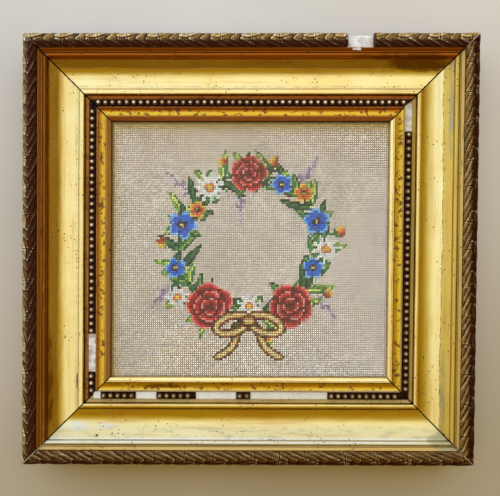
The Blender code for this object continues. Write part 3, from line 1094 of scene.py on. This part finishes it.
# The long leaf that lies over the others, and the fine cracks across
LENS_MIDDLE = -0.48
LENS_HALF_WIDTH = 0.34
LENS_HALF_LENGTH = 0.0086
CRACK_SPACING = 0.0275
CRACK_DEPTH = 0.0009
CRACK_HALF = 0.00022
CRACK_BEND = 0.0006

# Leaf lengths that are left: name, side, and each end along the side, or None at a mitre
LEAF_LENGTHS = (
    ("leaf_bottom", "bottom", None, None),
    ("leaf_right", "right", None, None),
    ("leaf_top_east", "top", None, -0.1090),
    ("leaf_top_west", "top", -0.0850, None),
    ("leaf_left", "left", None, None),
)


def leaf_relief(along, across, draw):
    """Height of the leaves over the bare half round, with across from -1 at its outer edge to 1."""
    off_crest = np.sqrt(across**2 + 0.10**2) - 0.10
    sweep = np.where(across > 0, LEAF_SWEEP[1], LEAF_SWEEP[0])
    behind = -sweep * (1 - (1 - off_crest) ** 1.6)
    loose = LEAF_LOOSE * waves((along, 0.002 * across), 0.030, 5)
    ahead = (along + loose - behind) / LEAF_PITCH
    number = np.floor(ahead)
    share = ahead - number
    leaf = 0.25 + 0.55 * share**0.9 * (0.8 + 0.2 * np.cos(number * 2.4))
    cut = np.minimum(share, 1 - share) * LEAF_PITCH
    leaf = leaf - 0.50 * np.exp(-((cut / LEAF_CUT) ** 2)) * (share < 0.5)
    veins = np.cos(2 * math.pi * ((along - behind * 1.2) / LEAF_VEIN_PITCH + number * 0.37))
    leaf = leaf - 0.12 * veins * (1 - off_crest) ** 0.4
    # One long swelling leaf lies over the others on the outer side of each repeat
    repeat = 3 * LEAF_PITCH
    far = ((along / repeat + 0.5) % 1 - 0.5) * repeat / LENS_HALF_LENGTH
    aside = (across - LENS_MIDDLE - 0.16 * far) / (LENS_HALF_WIDTH * np.clip(1 - far**2, 0.02, 1) ** 0.6)
    inside = np.clip(1 - aside**2, 0, 1) * (np.abs(far) < 1)
    leaf = np.where(inside > 0, np.maximum(leaf * 0.4, 0.30 + 0.68 * inside**0.5), leaf)
    leaf = leaf - 0.45 * np.exp(-(((np.abs(aside) - 1.12) / 0.10) ** 2)) * (np.abs(far) < 1)
    spots = np.arange(-9, 10) * CRACK_SPACING + draw.uniform(-0.004, 0.004, 19)
    bends = CRACK_BEND * np.sin(across[..., None] * 3 + spots * 900)
    gap = np.abs(along[..., None] - spots - bends).min(axis=-1)
    return LEAF_RELIEF * leaf - CRACK_DEPTH * np.exp(-((gap / CRACK_HALF) ** 2))


def soften(values, steps):
    """The mean of each value and its neighbours, along both axes."""
    for axis, reach in enumerate(steps):
        first, last = values.take([0], axis), values.take([-1], axis)
        padded = np.concatenate([np.repeat(first, reach, axis), values, np.repeat(last, reach, axis)], axis)
        sums = np.cumsum(padded, axis=axis)
        size = 2 * reach + 1
        upper = sums.take(range(size - 1, sums.shape[axis]), axis)
        lower = np.concatenate([np.zeros_like(first), sums], axis).take(range(values.shape[axis]), axis)
        values = (upper - lower) / size
    return values


def leaf_length(name, side, start, end, material):
    """One length of leaf ornament, closed underneath, ending at its mitres or at ragged breaks."""
    half = LEAF_WIDTH / 2
    rise = LEAF_CROWN - LEAF_BASE - LEAF_EDGE - LEAF_RELIEF
    angle = np.radians(np.linspace(180, 0, LEAF_COLUMNS))
    round_in, round_up = half * np.cos(angle), rise * np.sin(angle)
    run = np.concatenate([[0], np.cumsum(np.hypot(np.diff(round_in), np.diff(round_up)))])
    across = run - run[-1] / 2
    longest = mitre_reach(side, 0)
    low, high = -longest if start is None else start, longest if end is None else end
    rows = math.ceil((high - low) / LEAF_STEP)
    share = np.linspace(0, 1, rows + 1)[:, None]
    inward = half + round_in[None]
    seed = sum(map(ord, name))
    ragged = BREAK_RAGGED * waves((inward, inward * 0.3), 0.006, seed)
    first = -mitre_reach(side, inward) if start is None else start + ragged
    last = mitre_reach(side, inward) if end is None else end + ragged
    along = first + (last - first) * share
    warp = LEAF_WARP * waves((along, inward), 0.05, seed + 1)
    sideways = np.broadcast_to(across, along.shape) / (run[-1] / 2)
    relief = leaf_relief(along + warp, sideways, np.random.default_rng(seed))
    relief = relief * ease(run[-1] / 2 - np.abs(across), 0.0, LEAF_FADE)[None]
    relief = relief * (0.94 + 0.06 * np.clip(waves((along, inward), 0.03, seed + 2), -1, 1))
    normal_in, normal_up = np.cos(angle) / half, np.sin(angle) / rise
    size = np.hypot(normal_in, normal_up)
    inward = inward + relief * (normal_in / size)[None]
    height = LEAF_BASE + LEAF_EDGE + round_up[None] + relief * (normal_up / size)[None]
    if start is None:
        first = -mitre_reach(side, inward)
    if end is None:
        last = mitre_reach(side, inward)
    along = first + (last - first) * share
    # Lower in the cuts and higher on raised edges: painted shade and painted highlights, with random patches
    raised = (relief - soften(relief, (3, 2))) / LEAF_DETAIL
    patchy = waves((along, 2 * inward), 0.012, seed + 3)
    relief_shading = np.clip(0.22 + 0.42 * relief / LEAF_RELIEF + 0.36 * raised + 0.12 * patchy, 0, 1)
    # Painted shade on the half turned from the light
    turned, clean, shaded, least = LEAF_SHADE_BY_SIDE[side]
    painted_shade = np.maximum(ease(sideways * turned, clean, shaded) * 0.92, least)
    broken = np.zeros_like(relief_shading)
    for limit, edge in ((start, along - first), (end, last - along)):
        if limit is not None:
            broken = np.maximum(broken, 1 - ease(edge, *BREAK_BARE))
    loops = place(side, along, inward, height)
    foot_in, foot_out = (np.full_like(along[:, :1], value) for value in (LEAF_WIDTH, 0.0))
    under = [place(side, along[:, [k]], foot, LEAF_BASE) for k, foot in ((-1, foot_in), (0, foot_out))]
    points = np.concatenate([loops, *under], axis=1)
    tones = {
        "high": np.pad(relief_shading, ((0, 0), (0, 2))),
        "painted_shade": np.pad(painted_shade, ((0, 0), (0, 2)), mode="edge"),
        "chip": np.pad(broken, ((0, 0), (0, 2))),
    }
    made = make_object("visual_" + name, points, None, material, tones, 50)
    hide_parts(name)
    return made


# Beads: one every pitch, with middles half a pitch from the side's middle, on a low bar
BEAD_PITCH = 0.0065
BEAD_INWARD = 0.0557
BEAD_FOOT = 0.0177
BEAD_MIDDLE = 0.0183
BEAD_HALF = (0.00300, 0.00318, 0.00400)
BEAD_SIZES = (0.95, 1.02)
BEAD_JITTER = (0.00012, 0.0001)
BEAD_SEGMENTS = 16
BEAD_RINGS = 5
BAR_OUTLINE = (
    (-0.0032, 0.0177),
    (-0.0032, 0.0181),
    (-0.0013, 0.0182),
    (0.0, 0.0196),
    (0.0013, 0.0182),
    (0.0032, 0.0181),
    (0.0032, 0.0177),
)

# Bead lengths that are left: name, side, and beads from the side's middle to each end, or None at a mitre
BEAD_LENGTHS = (
    ("bead_bottom_1", "bottom", -21.1, -16.1),
    ("bead_bottom_2", "bottom", -13.1, -7.5),
    ("bead_bottom_3", "bottom", -1.7, 0.3),
    ("bead_bottom_4", "bottom", 11.3, None),
    ("bead_right", "right", None, 16.8),
    ("bead_top", "top", None, None),
    ("bead_left_north", "left", None, 12),
    ("bead_left_south", "left", 17.5, None),
)


def bead_template():
    """Points and faces of one bead: a dome on a short wall, closed underneath."""
    turns = np.linspace(0, 2 * math.pi, BEAD_SEGMENTS, endpoint=False)
    levels = np.linspace(0, math.pi / 2, BEAD_RINGS + 1)[:-1]
    points = [(math.cos(t), math.sin(t), -0.15) for t in turns]
    for level in levels:
        reach, height = math.cos(level), math.sin(level)
        points += [(math.cos(t) * reach, math.sin(t) * reach, height) for t in turns]
    points.append((0, 0, 1))
    rings = BEAD_RINGS + 1
    faces = [tuple(range(BEAD_SEGMENTS - 1, -1, -1))]
    for ring in range(rings - 1):
        for k in range(BEAD_SEGMENTS):
            after = (k + 1) % BEAD_SEGMENTS
            low, high = ring * BEAD_SEGMENTS, (ring + 1) * BEAD_SEGMENTS
            faces.append((low + k, low + after, high + after, high + k))
    last = (rings - 1) * BEAD_SEGMENTS
    faces += [(last + k, last + (k + 1) % BEAD_SEGMENTS, len(points) - 1) for k in range(BEAD_SEGMENTS)]
    return np.array(points), faces


def bead_length(name, side, first_bead, last_bead, material):
    """A row of single beads on its bar, for one length that is left."""
    reach = mitre_reach(side, BEAD_INWARD)
    low = -reach if first_bead is None else first_bead * BEAD_PITCH
    high = reach if last_bead is None else last_bead * BEAD_PITCH
    clear = BEAD_HALF[1] * math.sqrt(2)
    count = math.ceil(reach / BEAD_PITCH)
    shift = (first_bead if first_bead is not None else last_bead or 0) % 1
    middles = (np.arange(-count - 1, count) + 0.5 + shift) * BEAD_PITCH
    near_low, near_high = (clear if bead is None else BEAD_HALF[0] * 0.8 for bead in (first_bead, last_bead))
    middles = middles[(middles > low + near_low) & (middles < high - near_high)]
    draw = np.random.default_rng(sum(map(ord, name)))
    shape, faces = bead_template()
    size = np.array(BEAD_HALF) * draw.uniform(*BEAD_SIZES, (len(middles), 1, 3))
    beads = shape[None] * size
    jitter = [draw.uniform(-most, most, (len(middles), 1)) for most in BEAD_JITTER]
    along = beads[..., 0] + middles[:, None] + jitter[0]
    inward = BEAD_INWARD + beads[..., 1] + jitter[1]
    height = np.maximum(BEAD_MIDDLE + beads[..., 2], BEAD_FOOT)
    points = place(side, along, inward, height).reshape(-1, 3)
    all_faces = repeat_faces(faces, len(shape), len(middles))
    bar = np.array(BAR_OUTLINE)
    bar_in = BEAD_INWARD + bar[:, 0]
    bar_low = -mitre_reach(side, bar_in) if first_bead is None else np.full(len(bar), low)
    bar_high = mitre_reach(side, bar_in) if last_bead is None else np.full(len(bar), high)
    bar_points = place(side, np.stack([bar_low, bar_high]), bar_in[None], bar[None, :, 1])
    offset = len(points)
    all_faces += [[corner + offset for corner in face] for face in skin_faces(2, len(bar))]
    points = np.concatenate([points, bar_points.reshape(-1, 3)])
    # Height up each bead, 0 on the bar: the material paints shade low down and a highlight on top
    top = np.tile(np.clip(shape[:, 2], 0, 1), len(middles))
    tones = {"high": np.concatenate([top, np.zeros(bar_points.size // 3)])}
    made = make_object("visual_" + name, points, all_faces, material, tones, 40)
    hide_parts(name)
    return made


# Outer edge, inner edge and seat of the bare gesso in the bead channel
CHANNEL = (0.0523, 0.0591, 0.0174)
# Bare gesso: name, side, both ends along, both edges and seat, rise, wobble of the outline, and soil
GESSO_PATCHES = (
    ("gesso_chip", "top", -0.1086, -0.0854, 0.0010, 0.0113, 0.0360, 0.0016, 0.0004, 0.4),
    ("gesso_chip_lobe", "top", -0.0975, -0.0895, 0.0114, 0.0138, 0.0372, 0.0010, 0.0006, 0.4),
    ("gesso_left", "left", 0.0782, 0.1136, *CHANNEL, 0.0007, 0.0004, 0.6),
    ("gesso_right", "right", 0.1094, 0.1350, *CHANNEL, 0.0007, 0.0004, 0.4),
    ("gesso_bottom_1", "bottom", -0.1440, -0.1373, *CHANNEL, 0.0006, 0.0004, 0.1),
    ("gesso_bottom_2", "bottom", -0.1044, -0.0854, *CHANNEL, 0.0007, 0.0004, 0.1),
    ("gesso_bottom_3", "bottom", -0.0486, -0.0112, *CHANNEL, 0.0007, 0.0004, 0.1),
    ("gesso_bottom_4", "bottom", 0.0021, 0.0733, *CHANNEL, 0.0007, 0.0004, 0.1),
)
GESSO_STEP = 0.0006
# How far in from a patch's ends and edges its top is lower
GESSO_END = 0.0012
GESSO_EDGE = 0.0008


def gesso_patch(name, side, start, end, outer, inner, seat, rise, wobble, soil_and_shade, material):
    """A low crumbled bed of gesso with an uneven top and a ragged outline."""
    length, width = end - start, inner - outer
    steps = [np.linspace(0, 1, math.ceil(reach / GESSO_STEP) + 1) for reach in (length, width)]
    share, side_share = np.meshgrid(*steps, indexing="ij")
    seed = sum(map(ord, name))
    flat_along, flat_inward = start + length * share, outer + width * side_share
    along = flat_along + wobble * waves((flat_inward + 0.1,), 0.005, seed) * (2 * share - 1)
    inward = flat_inward + wobble * 0.5 * waves((flat_along,), 0.008, seed + 1) * (2 * side_share - 1)
    crumble = 0.5 + 0.32 * waves((flat_along, flat_inward), 0.004, seed + 2, 4)
    border = ease(np.minimum(share, 1 - share) * length, 0, GESSO_END)
    border = border * ease(np.minimum(side_share, 1 - side_share) * width, 0, GESSO_EDGE)
    height = seat + rise * (0.25 + 0.75 * np.clip(crumble, 0, 1) * border)
    under = [place(side, along[:, [k]], inward[:, [k]], seat + 0.00005) for k in (-1, 0)]
    points = np.concatenate([place(side, along, inward, height), *under], axis=1)
    tones = {"soil_and_shade": np.full(points.shape[:2], soil_and_shade)}
    return make_object(name, points, None, material, tones, 60)


# Cloth: its half sizes under the slip, its levels, and the stitches counted on it
CLOTH_INSET = 0.0663
CANVAS_UNDER = 0.0099
CANVAS_TOP = 0.0105
CLOTH_WAVE = 0.00012
CLOTH_GRID = (36, 33)

# One crossed stitch: reach of its arms as a share of the cell, half width, and the arms' crest heights
ARM_REACH = 0.90
ARM_HALF_WIDTH = 0.00052
GROUND_HALF_WIDTH = 0.00039
ARM_FOOT = 0.00012
UNDER_ARM_CREST = 0.00062
OVER_ARM_CREST = 0.00102
OVER_ARM_UNDERSIDE = 0.00040
STITCH_SIZES = (0.88, 1.08)
STITCH_JITTER = 0.00005
STITCH_WANDER = (0.00022, 0.00025)
GROUND_PIECES = 3

# How much the tone of single stitches differs, in the ground and in the flowers
GROUND_UNEVEN = 0.12
WORKED_UNEVEN = 0.15

# How far in the sight edge is, how far past it the painted shadow on the stitches fades, and how dark it is
# on each side
SIGHT_EDGE = 0.0720
EDGE_SHADOW_FADE = (0.0004, 0.0022)
EDGE_SHADOW = {"bottom": 0.3, "right": 0.4, "top": 1.0, "left": 1.0}


def cloth_level(x, y):
    """How far the cloth rises or sinks from flat."""
    return CLOTH_WAVE * waves((x, y), 0.09, 71)


def canvas_sheet(material):
    """The canvas itself, thin and slightly uneven, under the slip's lip."""
    half_width, half_height = OUTER_WIDTH / 2 - CLOTH_INSET, OUTER_HEIGHT / 2 - CLOTH_INSET
    x, y = np.meshgrid(
        np.linspace(-half_width, half_width, CLOTH_GRID[0] + 1),
        np.linspace(-half_height, half_height, CLOTH_GRID[1] + 1),
        indexing="ij",
    )
    lift = cloth_level(x, y)
    upper = np.stack([x + LEAN * y, y, CANVAS_TOP + lift], axis=-1)
    lower = np.stack([x + LEAN * y, y, CANVAS_UNDER + lift], axis=-1)
    count = x.size
    index = np.arange(count).reshape(x.shape)
    corners = index[:-1, :-1], index[1:, :-1], index[1:, 1:], index[:-1, 1:]
    faces = np.stack(corners, axis=-1).reshape(-1, 4)
    rim = np.concatenate([index[:-1, 0], index[-1, :-1], index[:0:-1, -1], index[0, :0:-1]])
    after = np.roll(rim, -1)
    walls = np.stack([rim, rim + count, after + count, after], axis=-1)
    all_faces = faces.tolist() + (faces[:, ::-1] + count).tolist() + walls.tolist()
    points = np.concatenate([upper.reshape(-1, 3), lower.reshape(-1, 3)])
    made = make_object("visual_canvas", points, all_faces, material)
    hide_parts("canvas_sheet")
    return made


def edge_shadow(x, y):
    """How much painted shadow darkens each stitch, from 0 in the open to 1 under the edge of the slip."""
    soil_and_shade = np.zeros_like(x)
    for side, far in (("bottom", y), ("right", -x), ("top", -y), ("left", x)):
        past = far + (OUTER_WIDTH if side in UPRIGHT_SIDES else OUTER_HEIGHT) / 2 - SIGHT_EDGE
        soil_and_shade = np.maximum(soil_and_shade, EDGE_SHADOW[side] * (1 - ease(past, *EDGE_SHADOW_FADE)))
    return soil_and_shade


def arm_template(way, foot, crest, underside, shade):
    """Points, shades and faces of one arm of a stitch, over a cell with corners at -1 and 1. The shades are
    painted shade at its ends and edges and a painted highlight along its crest.
    """
    points, shades = [], []
    along_arm = ((-1, foot, -foot, -0.50), (0, crest, underside, 0.16), (1, foot, -foot, -0.50))
    for share, top, under, tone in along_arm:
        for edge, level, edge_tone in ((-1, under, -0.25), (0, top, 0.14), (1, under, -0.25)):
            points.append((share, way * share, edge, level))
            shades.append(shade + tone + edge_tone)
    faces = []
    for row in (0, 3):
        for k in range(3):
            after = (k + 1) % 3
            faces.append((row + k, row + 3 + k, row + 3 + after, row + after))
    faces += [(0, 1, 2), (8, 7, 6)]
    if way < 0:
        faces = [face[::-1] for face in faces]
    return points, shades, faces


def stitches(name, rows, columns, thread_name, colour):
    """Crossed stitches of one thread in the given cells of the chart, as one mesh."""
    x = (columns - (CLOTH_COLUMNS - 1) / 2) * STITCH_ACROSS
    y = (rows - (CLOTH_ROWS - 1) / 2) * STITCH_UP
    draw = np.random.default_rng(sum(map(ord, name)))
    # The under arm is shaded lower than the over arm: painted shade
    under = arm_template(-1, ARM_FOOT, UNDER_ARM_CREST, -ARM_FOOT, 0.36)
    over = arm_template(1, ARM_FOOT, OVER_ARM_CREST, OVER_ARM_UNDERSIDE, 0.56)
    shape = np.array(under[0] + over[0])
    faces = under[2] + [tuple(corner + len(under[0]) for corner in face) for face in over[2]]
    across = np.repeat((-1.0, 1.0), (len(under[0]), len(over[0])))
    half = np.array((STITCH_ACROSS, STITCH_UP)) / 2 * ARM_REACH
    span = math.hypot(*half)
    count = len(rows)
    jitter = draw.normal(0, STITCH_JITTER, (count, 1, 2))
    half_width = GROUND_HALF_WIDTH if thread_name == "ground" else ARM_HALF_WIDTH
    width = half_width * draw.uniform(*STITCH_SIZES, (count, 1))
    px = shape[:, 0] * half[0] - across * shape[:, 2] * width * half[1] / span
    py = shape[:, 1] * half[1] + shape[:, 2] * width * half[0] / span
    pz = shape[:, 3] * draw.uniform(*STITCH_SIZES, (count, 1))
    wander = STITCH_WANDER[0] * waves((x, y), 0.06, 72), STITCH_WANDER[1] * waves((x, y), 0.07, 73)
    x, y = x + wander[0], y + wander[1]
    points = np.empty((count, len(shape), 3))
    points[..., 1] = y[:, None] + py + jitter[..., 1]
    points[..., 0] = x[:, None] + px + jitter[..., 0] + LEAN * points[..., 1]
    points[..., 2] = CANVAS_TOP + cloth_level(x, y)[:, None] + pz
    uneven = GROUND_UNEVEN if thread_name == "ground" else WORKED_UNEVEN
    # Painted shade and highlights along the arms, a random tone from stitch to stitch, and the painted shadow
    # along the sight edge
    tone = np.array(under[1] + over[1])[None] + draw.normal(0, uneven, (count, 1)) - edge_shadow(x, y)[:, None]
    return make_object(
        name,
        points,
        repeat_faces(faces, len(shape), count),
        thread(thread_name, daylight(*colour)),
        {"shade": np.clip(tone, 0, 1)},
    )


def worked_picture(chart):
    """Every stitch of the chart: a piece for each thread, and a few for the ground."""
    pieces = []
    for number, (name, colour) in enumerate(THREADS):
        rows, columns = np.nonzero(chart == number)
        if name != "ground":
            if len(rows):
                pieces.append(stitches("stitches_" + name, rows, columns, name, colour))
            continue
        for part in range(GROUND_PIECES):
            chosen = columns * GROUND_PIECES // CLOTH_COLUMNS == part
            piece_name = f"stitches_ground_{part + 1}"
            pieces.append(stitches(piece_name, rows[chosen], columns[chosen], name, colour))
    return pieces


# A stray fibre that lies on the ground: where it starts and ends, its level, half thickness and bend
FIBRE_ENDS = ((-0.0886, 0.0930), (-0.0822, 0.0866))
FIBRE_LEVEL = 0.01178
FIBRE_HALF = 0.00014
FIBRE_BEND = 0.0006
FIBRE_ROWS = 14
FIBRE_SIDES = 6


def stray_fibre():
    """A loose thread end on the worked ground."""
    shares = np.linspace(0, 1, FIBRE_ROWS)
    start, end = np.array(FIBRE_ENDS)
    line = start + (end - start) * shares[:, None]
    normal = np.array([end[1] - start[1], start[0] - end[0]]) / np.linalg.norm(end - start)
    line = line + normal * (FIBRE_BEND * np.sin(shares * 5.0))[:, None]
    turns = np.linspace(0, 2 * math.pi, FIBRE_SIDES, endpoint=False)
    thick = FIBRE_HALF * (0.4 + 0.6 * np.sin(math.pi * np.clip(shares, 0.05, 0.95)))
    x = line[:, :1] + normal[0] * np.cos(turns) * thick[:, None]
    y = line[:, 1:] + normal[1] * np.cos(turns) * thick[:, None]
    z = FIBRE_LEVEL + np.sin(turns) * thick[:, None]
    points = np.stack([x, y, z], axis=-1)
    return make_object(
        "stray_fibre",
        points,
        None,
        thread("fibre", daylight(232, 222, 202)),
        {"shade": np.full(points.shape[:2], 0.7)},
    )


# How a box with its light along X dims lower down: from one Y to the other, and from one loss to the other
SOFTBOX_FALL = (0.05, -0.35, 0.0, 0.22)
# Cooler tint of a box's top left, and the levels of Y less X that it comes in between
SOFTBOX_COOL = (0.96, 1.04, 1.25, 1.0)
SOFTBOX_COOL_SPAN = (0.10, 0.60)
# Light of the softboxes' faces, from the dim end to the bright one
GOLD_LIGHT = (
    (0.00, (0.36, 0.22, 0.002)),
    (0.15, (0.39, 0.26, 0.003)),
    (0.30, (0.42, 0.30, 0.007)),
    (0.50, (0.56, 0.48, 0.14)),
    (0.70, (0.83, 0.79, 0.55)),
    (0.85, (1.03, 1.08, 1.08)),
    (1.00, (1.14, 1.22, 1.32)),
)
CLOTH_LIGHT = (
    (0.00, (1.22, 0.95, 0.37)),
    (1.00, (1.48, 1.19, 0.57)),
)
# Each softbox: what it lights, place, size, the axis its light runs along, its two ends, strength and light
SOFTBOXES = (
    ("upright", (-0.15, 0.25, 0.47), (2.30, 2.10), "X", (0.70, 0.0), 0.92, GOLD_LIGHT),
    ("cloth", (-0.10, 0.20, 1.00), (1.00, 1.00), "Y", (-0.20, 0.45), 3.9, CLOTH_LIGHT),
    ("rest", (-0.15, 0.25, 0.47), (2.30, 2.10), "Y", (-0.30, 0.05), 1.0, GOLD_LIGHT),
)
# Soft key light on the cloth, from past the frame's top left
KEY_PLACE = (-0.92, 1.28, 0.68)
KEY_SIZE = 0.80
KEY_WATTS = 50.0
KEY_COLOUR = (0.74, 1.08, 1.80)

# Room: each level of how far a way points to the picture's top left, and the light from there
ROOM = (
    (-0.30, (0.24, 0.12, 0.004)),
    (0.12, (0.46, 0.32, 0.05)),
    (0.70, (0.78, 0.78, 0.80)),
    (1.15, (1.05, 1.06, 1.10)),
)
ROOM_WEIGHTS = (-0.85, 1.15, 0.0)
ROOM_FADE = (0.25, 0.50)
BACKDROP = (0.80, 0.78, 0.74, 1.0)
FLOOR_HALF = 3.0


def graded(made, level, stops):
    """A colour that runs smoothly through stops of a level."""
    colour = (*stops[0][1], 1.0)
    for (low, _), (high, after) in zip(stops, stops[1:]):
        colour = made.mix(made.span(level, low, high), colour, (*after, 1.0))
    return colour


class LightTree(Finish):
    """The nodes of a light or of the world, with the short calls of a material."""

    def __init__(self, owner):
        owner.use_nodes = True
        self.tree = owner.node_tree

    def ramp(self, value, low, high):
        """0 at low and 1 at high, with a straight rise between them."""
        return self.node("MapRange", Value=value, From_Min=low, From_Max=high).outputs["Result"]


def room():
    """The room around: bright past the picture's top and left, dim and warm past its bottom and right."""
    world = bpy.data.worlds.new("room")
    made = LightTree(world)
    way = made.node("TexCoord").outputs["Generated"]
    level = made.node("VectorMath", {"operation": "DOT_PRODUCT"})
    made.feed(way, level.inputs[0])
    made.feed(ROOM_WEIGHTS, level.inputs[1])
    colour = graded(made, level.outputs["Value"], ROOM)
    above = made.span(made.node("SeparateXYZ", Vector=way).outputs["Z"], *ROOM_FADE)
    colour = made.mix(above, colour, (0.0, 0.0, 0.0, 1.0))
    colour = made.mix(made.node("LightPath").outputs["Is Camera Ray"], colour, BACKDROP)
    made.feed(colour, made.tree.nodes["Background"].inputs["Color"])
    bpy.context.scene.world = world


def softbox(name, spot, size, axis, ends, strength, stops):
    """A softbox over the picture, with its light running from a dim end to a bright one."""
    data = bpy.data.lights.new(name, "AREA")
    data.shape = "RECTANGLE"
    data.size, data.size_y = size
    data.energy = math.pi * data.size * data.size_y * strength
    made = LightTree(data)
    face = made.node("SeparateXYZ", Vector=made.node("NewGeometry").outputs["Position"]).outputs
    level = made.ramp(face[axis], *ends)
    if axis == "X":
        level = made.minus(level, made.span(face["Y"], *SOFTBOX_FALL))
    cool = made.span(made.minus(face["Y"], face["X"]), *SOFTBOX_COOL_SPAN)
    tint = made.node("Mix", {"data_type": "RGBA", "blend_type": "MULTIPLY"})
    made.feed(cool, tint.inputs[0])
    made.feed(graded(made, level, stops), tint.inputs[6])
    made.feed(SOFTBOX_COOL, tint.inputs[7])
    made.feed(tint.outputs[2], made.tree.nodes["Emission"].inputs["Color"])
    light = add(name, data)
    light.location = spot
    light.visible_camera = False
    return light


def key_light():
    """A square lamp past the top left, turned to the middle of the cloth."""
    data = bpy.data.lights.new("key", "AREA")
    data.shape = "SQUARE"
    data.size = KEY_SIZE
    data.energy = KEY_WATTS
    data.color = KEY_COLOUR
    light = add("key", data)
    light.location = KEY_PLACE
    light.rotation_euler = Vector(KEY_PLACE).to_track_quat("Z", "Y").to_euler()
    light.visible_camera = False
    return light


def studio(groups):
    """A softbox for each group of pieces and one for all else, the cloth's key light, and a pale floor."""
    key = key_light()
    for group, *looks in SOFTBOXES:
        light = softbox("softbox_" + group, *looks)
        own = group in groups
        pieces = groups[group] if own else sum(groups.values(), [])
        lit = bpy.data.collections.new("lit_" + group)
        for piece in pieces:
            lit.objects.link(piece)
        for entry in lit.collection_objects:
            entry.light_linking.link_state = "INCLUDE" if own else "EXCLUDE"
        light.light_linking.receiver_collection = lit
        if group == "cloth":
            key.light_linking.receiver_collection = lit
    mesh = bpy.data.meshes.new("floor")
    corners = [(x * FLOOR_HALF, y * FLOOR_HALF, 0) for x, y in ((-1, -1), (1, -1), (1, 1), (-1, 1))]
    mesh.from_pydata(corners, [], [(0, 1, 2, 3)])
    made = Finish("pale_floor")
    cloudy = made.noise(0.4, 3.0, 0.5)
    made.set(
        Base_Color=made.mix(made.span(cloudy, 0.3, 0.7), daylight(226, 214, 194), daylight(214, 202, 182)),
        Roughness=made.span(cloudy, 0.2, 0.8, 0.75, 0.85),
    )
    mesh.materials.append(made.material)
    floor = add("floor", mesh)
    bpy.context.scene.view_settings.view_transform = "Standard"


def camera():
    """The camera of the photograph, straight above and turned by about a degree."""
    data = bpy.data.cameras.new("camera")
    data.lens = CAMERA_LENS_MM
    data.sensor_width = CAMERA_SENSOR_MM
    made = add("camera", data)
    made.location = CAMERA_PLACE
    made.rotation_euler = Euler([math.radians(angle) for angle in CAMERA_TURN])
    bpy.context.scene.camera = made


def dress():
    """Every piece of the picture. Gives the groups that have a softbox of their own."""
    gold, bare_wood = gilding(), wood()
    sided = []
    for side in SIDES:
        for kind, corners in (("rail_", moulding_corners()), ("slip_", slip_corners())):
            sided.append((side, moulding_length(kind + side, side, corners, gold, bare_wood)))
    leaf_finish, bead_finish, gesso = composition(), bead_gilding(), plaster()
    sided += [(row[1], leaf_length(*row, leaf_finish)) for row in LEAF_LENGTHS]
    sided += [(row[1], bead_length(*row, bead_finish)) for row in BEAD_LENGTHS]
    patches = [(row[1], gesso_patch(*row, gesso)) for row in GESSO_PATCHES]
    canvas = canvas_sheet(canvas_weave())
    pieces = worked_picture(wreath())
    pieces.append(stray_fibre())
    return {
        "upright": [piece for side, piece in sided if side in UPRIGHT_SIDES]
        + [patch for side, patch in patches if side != "top"],
        "cloth": [canvas, *pieces],
    }


camera()
room()
studio(dress())
